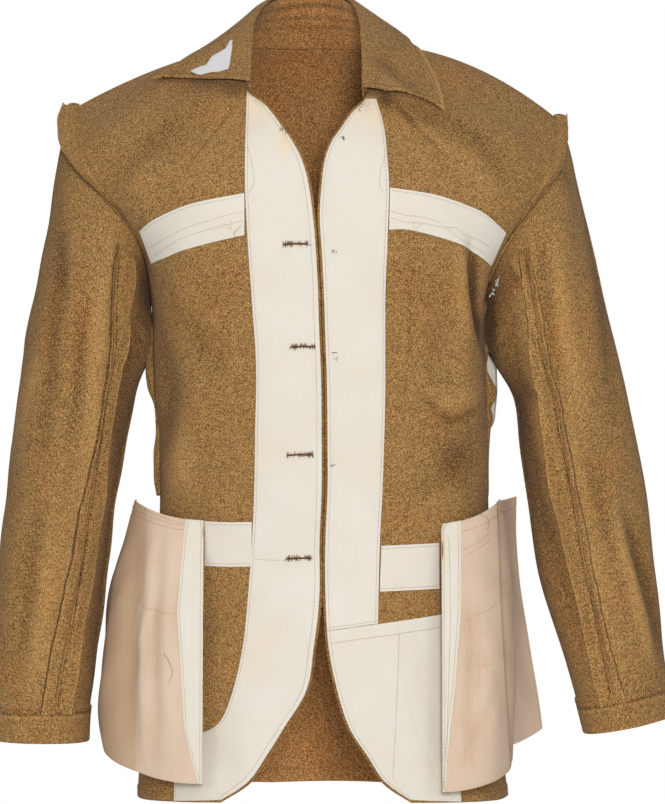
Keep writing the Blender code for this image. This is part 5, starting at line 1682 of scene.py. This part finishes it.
def on_cloth(names, line, step=1.5):
    """Points and normals where a smooth line on the front view meets the outside of some pieces."""
    line = np.asarray(line, float)
    if len(line) > 2:
        line = smooth(line, np.linspace(0, len(line) - 1, 12 * len(line)))
    length = np.linalg.norm(np.diff(line, axis=0), axis=1).sum()
    tree = tree_of(*(outer_face(name) for name in names))
    points, normals = [], []
    for x, z in resampled(line, max(3, int(length / step))):
        hit, normal, _, _ = tree.ray_cast(Vector((x, -IN_FRONT, z)), BACKWARDS)
        if hit is not None:
            points.append(hit)
            normals.append(normal if normal.y < 0 else -normal)
    return np.array(points), np.array(normals)


def along_edge(name, edge, inset, part=(0.0, 1.0)):
    """Points and normals on the outside of a piece, a little in from one of its edges."""
    face = outer_face(name)
    normals = CLOTH[name][1]
    if edge in ("first_row", "last_row"):
        face, normals = face.transpose(1, 0, 2), normals.transpose(1, 0, 2)
    if edge in ("last_row", "last_column"):
        face, normals = face[:, ::-1], normals[:, ::-1]
    first, last = (int(share * len(face)) for share in part)
    points, lie = [], []
    for row, out in zip(face[first:last], normals[first:last]):
        done = lengths_along(row)
        points.append(read_at(inset, done, row))
        lie.append(read_at(inset, done, out))
    return np.array(points), unit(np.array(lie))


def sew(name, seams, kind, slot):
    """One mesh of all the stitches along some seams."""
    sizes = bpy.context.scene.tunic
    radius = sizes.thread_width / 2 / MM
    made = []
    for points, normals in seams:
        if len(points) > 2:
            made += stitches(points, normals, sizes.stitch_length / MM, sizes.stitch_gap / MM, radius)
    piece(name, *tubes(made, radius, 4), kind, slot)


def lint(name, curls, kind, slot, radius):
    """Short loose ends of thread, each a curve through its points."""
    lines = [smooth(np.asarray(c, float), np.linspace(0, len(c) - 1, 5 * len(c))) for c in curls]
    piece(name, *tubes(lines, radius, 4), kind, slot)


def build_stitching():
    cream = [along_edge(*edge) for edge in COTTON_EDGES] + [on_cloth(*seam) for seam in COTTON_SEAMS]
    stand, normals, _ = CLOTH["collar_stand"]
    part = slice(*(int(share * stand.shape[1]) for share in STAND_PART))
    for share in STAND_STITCHES:
        row = int(share * (len(stand) - 1))
        cream.append((stand[row, part] - normals[row, part] * WOOL, -normals[row, part]))
    sew("stitching_cotton", cream, "thread", "cotton")
    bags = [along_edge(*edge) for edge in BAG_EDGES] + [on_cloth(*seam) for seam in BAG_SEAMS]
    sew("stitching_bags", bags, "thread", "bag_cotton")
    fall_edges = ("last_row", "first_column", "last_column")
    serge = [along_edge("collar_fall", edge, FALL_STITCH) for edge in fall_edges]
    for _, name in SIDES:
        serge.append(along_edge("front_" + name, "first_row", HEM_STITCH))
        serge.append(along_edge("front_" + name, "first_column", 1.0, (0.03, 0.62)))
        for panel in ("top", "under"):
            serge.append(along_edge("sleeve_%s_%s" % (panel, name), "last_row", CUFF_STITCH))
    serge.append(along_edge("back", "first_row", HEM_STITCH))
    serge += [on_cloth(*seam) for seam in SERGE_SEAMS]
    back, normals, _ = CLOTH["back"]
    row = int(np.argmin(np.abs(back[:SKIRT_ROWS, back.shape[1] // 2, 2] - BACK_HEM_STITCH)))
    part = slice(BACK_HEM_INSET, -BACK_HEM_INSET)
    serge.append((back[row, part] - normals[row, part] * WOOL, -normals[row, part]))
    sew("stitching_serge", serge, "khaki", "wool")


def build_buttonholes():
    """Each buttonhole is a dark tube of painted shadow along its slit, under a ragged row of worked khaki
    threads.
    """
    flow = np.random.default_rng(101)
    slit_shadows, threads = [], []
    for x, z in BUTTONHOLES:
        half = bpy.context.scene.tunic.buttonhole / MM / 2
        points, normals = on_cloth(["facing_l"], ((x - half, z - 0.6), (x, z), (x + half, z - 0.2)), step=1.0)
        slit_shadows.append(points + normals * 0.12)
        for _ in range(BUTTONHOLE_THREADS):
            at = int(flow.integers(0, len(points)))
            low, high = flow.uniform(0.8, 3.2), flow.uniform(0.8, 3.6)
            lean = flow.normal(0, 0.9)
            near_x, _, near_z = points[at]
            line = ((near_x - lean, near_z - low), (near_x, near_z + flow.normal(0, 0.3)),
                    (near_x + lean, near_z + high))
            place, out = on_cloth(["facing_l"], line, step=1.2)
            threads.append(place + out * flow.uniform(0.3, 0.9))
    piece("buttonhole_slits", *tubes(slit_shadows, 0.75, 6), "brown", "cotton")
    piece("buttonhole_threads", *tubes(threads, 0.36, 4), "khaki", "cotton")


def build_loose_threads():
    """Tacks, cut button threads and loose ends."""
    flow = np.random.default_rng(103)
    tacks = []
    for names, x, z, count, spread_out in TACKS:
        for _ in range(count):
            start = np.array((x, z)) + flow.normal(0, spread_out, 2)
            end = start + flow.normal(0, 1.5, 2) + np.array((0.6, -1.2))
            middle = (start + end) / 2 + flow.normal(0, 0.4, 2)
            points, normals = on_cloth(names, (start, middle, end), step=0.8)
            if len(points) > 2:
                tacks.append(points + normals * 0.35)
    piece("tacks", *tubes(tacks, 0.36, 4), "brown", "cotton")
    curls = []
    for names, line in LOOSE_ENDS:
        points, normals = on_cloth(names, line, step=2.0)
        rise = 0.5 + 1.1 * np.sin(np.linspace(0, math.pi, len(points)))[:, None]
        curls.append(points + normals * rise)
    lint("loose_ends", curls, "thread", "cotton", 0.32)
    ends = []
    for _ in range(FRAYED_THREADS):
        share = flow.uniform()
        at = np.array(FRAYED[0]) * (1 - share) + np.array(FRAYED[1]) * share
        away = flow.normal(0, 1, 3) * np.array((1.6, 0.8, 1.8)) + np.array((0.4, -1.6, -0.4))
        bend = flow.normal(0, 0.7, 3)
        ends.append((at, at + away * 0.5 + bend, at + away))
    lint("frayed_ends", ends, "label", "cotton", 0.25)


def build_stage():
    scene = bpy.context.scene
    lens = bpy.data.cameras.new("photo_camera")
    lens.sensor_width = 36
    lens.lens = CAMERA_LENS
    lens.clip_end = 50
    camera = bpy.data.objects.new("photo_camera", lens)
    camera.location = CAMERA_PLACE
    camera.rotation_euler = (math.pi / 2, 0, 0)
    scene.collection.objects.link(camera)
    scene.camera = camera
    for name, place, size, power in LAMPS:
        light = bpy.data.lights.new(name, "AREA")
        light.shape = "DISK"
        light.size = size
        light.energy = power
        lamp = bpy.data.objects.new(name, light)
        lamp.location = place
        lamp.rotation_euler = (Vector(LAMP_AIM) - Vector(place)).to_track_quat("-Z", "Y").to_euler()
        scene.collection.objects.link(lamp)
    half = FLOOR_SIZE / 2
    mesh = bpy.data.meshes.new("studio_floor")
    corners = [(x * half, y * half, FLOOR_Z) for x, y in ((-1, -1), (1, -1), (1, 1), (-1, 1))]
    mesh.from_pydata(corners, [], [(0, 1, 2, 3)])
    mesh.materials.append(painted_floor("studio_paint_rolled", tuple(scene.tunic.floor)))
    floor = bpy.data.objects.new("studio_floor", mesh)
    scene.collection.objects.link(floor)
    world = bpy.data.worlds.new("white_studio")
    world.use_nodes = True
    nodes = world.node_tree
    seen = add(nodes, "ShaderNodeLightPath").outputs["Is Camera Ray"]
    light = add(nodes, "ShaderNodeMath", {0: seen, 1: WORLD_SEEN - WORLD_LIGHT, 2: WORLD_LIGHT},
                operation="MULTIPLY_ADD")
    nodes.nodes["Background"].inputs["Color"].default_value = (1, 1, 1, 1)
    nodes.links.new(light.outputs[0], nodes.nodes["Background"].inputs["Strength"])
    scene.world = world
    scene.view_settings.view_transform = "Standard"


def colour_of(name, description, value):
    return bpy.props.FloatVectorProperty(name=name, description=description, default=linear(value),
                                         subtype="COLOR", size=3, min=0, max=1)


def length_of(name, description, value, low, high):
    return bpy.props.FloatProperty(name=name, description=description, default=value, min=low, max=high,
                                   unit="LENGTH")


class TunicSettings(bpy.types.PropertyGroup):
    """Sizes and colours of the tunic."""
    wool: colour_of("Serge", "Colour of the woollen serge", "#84633a")
    # The good face is a brighter, redder copy of the serge on the inner faces: partly the face's own colour,
    # partly painted light, as the lamps reach the inside less.
    wool_face_lit: colour_of("Serge face", "Colour of the serge's good face, which is turned in", "#996d41")
    cotton: colour_of("Facing", "Colour of the facings, stays and strips", "#d6d0c5")
    bag: colour_of("Bag", "Colour of the pocket bags", "#d0b8a2")
    label: colour_of("Label", "Colour of the torn label", "#d6d4d8")
    thread: colour_of("Pale thread", "Colour of the thread on the cotton", "#c3a981")
    # On the buttonhole slits this colour is painted shadow in the open slit; the tacks are brown thread.
    brown: colour_of("Brown thread", "Colour of the buttonhole slits and the tacks", "#664622")
    khaki: colour_of("Khaki thread", "Colour of the serge's stitches and the buttonhole threads", "#6f4f2a")
    floor: colour_of("Floor", "Colour of the studio floor", "#f2f1ee")
    crease_depth: bpy.props.FloatProperty(name="Crease depth", description="Depth of the creases",
                                          default=1.0, min=0, max=2, subtype="FACTOR")
    stitch_length: length_of("Stitch length", "Length of a machine stitch", 0.0026, 0.001, 0.01)
    stitch_gap: length_of("Stitch gap", "Gap between two machine stitches", 0.0005, 0.0002, 0.005)
    thread_width: length_of("Thread width", "Width of the sewing thread", 0.0005, 0.0002, 0.002)
    buttonhole: length_of("Buttonhole", "Length of a buttonhole", 0.023, 0.01, 0.05)


class TUNIC_OT_fronts(bpy.types.Operator):
    """Both front panels"""
    bl_idname = "tunic.fronts"
    bl_label = "Fronts"

    def execute(self, context):
        build_fronts()
        return {"FINISHED"}


class TUNIC_OT_back(bpy.types.Operator):
    """The back panel"""
    bl_idname = "tunic.back"
    bl_label = "Back"

    def execute(self, context):
        build_back()
        return {"FINISHED"}


class TUNIC_OT_sleeves(bpy.types.Operator):
    """Top and under sleeves with their turned-up cuffs"""
    bl_idname = "tunic.sleeves"
    bl_label = "Sleeves"

    def execute(self, context):
        build_sleeves()
        return {"FINISHED"}


class TUNIC_OT_collar(bpy.types.Operator):
    """The collar's stand and fall"""
    bl_idname = "tunic.collar"
    bl_label = "Collar"

    def execute(self, context):
        build_collar()
        return {"FINISHED"}


class TUNIC_OT_allowances(bpy.types.Operator):
    """Raw seam allowances of the armholes, sides and sleeves"""
    bl_idname = "tunic.allowances"
    bl_label = "Seam allowances"

    def execute(self, context):
        build_armhole_edges()
        build_side_edges()
        build_sleeve_seams()
        return {"FINISHED"}


class TUNIC_OT_facings(bpy.types.Operator):
    """The front facings and the flat skirt pocket"""
    bl_idname = "tunic.facings"
    bl_label = "Facings"

    def execute(self, context):
        build_facings()
        return {"FINISHED"}


class TUNIC_OT_stays(bpy.types.Operator):
    """Breast and waist stays and the underarm pieces"""
    bl_idname = "tunic.stays"
    bl_label = "Stays"

    def execute(self, context):
        build_stays()
        build_underarm()
        return {"FINISHED"}


class TUNIC_OT_bags(bpy.types.Operator):
    """Hanging pocket bags with the strips down their fronts"""
    bl_idname = "tunic.bags"
    bl_label = "Pocket bags"

    def execute(self, context):
        build_bags()
        build_strips()
        return {"FINISHED"}


class TUNIC_OT_label(bpy.types.Operator):
    """The blank torn label on the collar"""
    bl_idname = "tunic.label"
    bl_label = "Label"

    def execute(self, context):
        build_label()
        return {"FINISHED"}


class TUNIC_OT_stitching(bpy.types.Operator):
    """Rows of machine stitches"""
    bl_idname = "tunic.stitching"
    bl_label = "Stitching"

    def execute(self, context):
        build_stitching()
        return {"FINISHED"}


class TUNIC_OT_buttonholes(bpy.types.Operator):
    """Worked buttonholes down the left facing"""
    bl_idname = "tunic.buttonholes"
    bl_label = "Buttonholes"

    def execute(self, context):
        build_buttonholes()
        return {"FINISHED"}


class TUNIC_OT_loose_threads(bpy.types.Operator):
    """Tacks, cut button threads and loose ends"""
    bl_idname = "tunic.loose_threads"
    bl_label = "Loose threads"

    def execute(self, context):
        build_loose_threads()
        return {"FINISHED"}


class TUNIC_OT_stage(bpy.types.Operator):
    """Camera, lights, floor and white surroundings"""
    bl_idname = "tunic.stage"
    bl_label = "Stage"

    def execute(self, context):
        build_stage()
        return {"FINISHED"}


OPERATORS = (TUNIC_OT_fronts, TUNIC_OT_back, TUNIC_OT_sleeves, TUNIC_OT_collar, TUNIC_OT_allowances,
             TUNIC_OT_facings, TUNIC_OT_stays, TUNIC_OT_bags, TUNIC_OT_label, TUNIC_OT_stitching,
             TUNIC_OT_buttonholes, TUNIC_OT_loose_threads, TUNIC_OT_stage)


class TUNIC_PT_panel(bpy.types.Panel):
    """Colours, sizes and pieces of the tunic"""
    bl_idname = "TUNIC_PT_panel"
    bl_label = "Tunic"
    bl_space_type = "VIEW_3D"
    bl_region_type = "UI"
    bl_category = "Tunic"

    def draw(self, context):
        for name in TunicSettings.__annotations__:
            self.layout.prop(context.scene.tunic, name)
        for operator in OPERATORS:
            self.layout.operator(operator.bl_idname)


CLASSES = (TunicSettings, *OPERATORS, TUNIC_PT_panel)


def register():
    for item in CLASSES:
        bpy.utils.register_class(item)
    bpy.types.Scene.tunic = bpy.props.PointerProperty(type=TunicSettings)


def unregister():
    del bpy.types.Scene.tunic
    for item in reversed(CLASSES):
        bpy.utils.unregister_class(item)


def main():
    register()
    for operator in OPERATORS:
        group, name = operator.bl_idname.split(".")
        getattr(getattr(bpy.ops, group), name)()


if __name__ == "__main__":
    main()
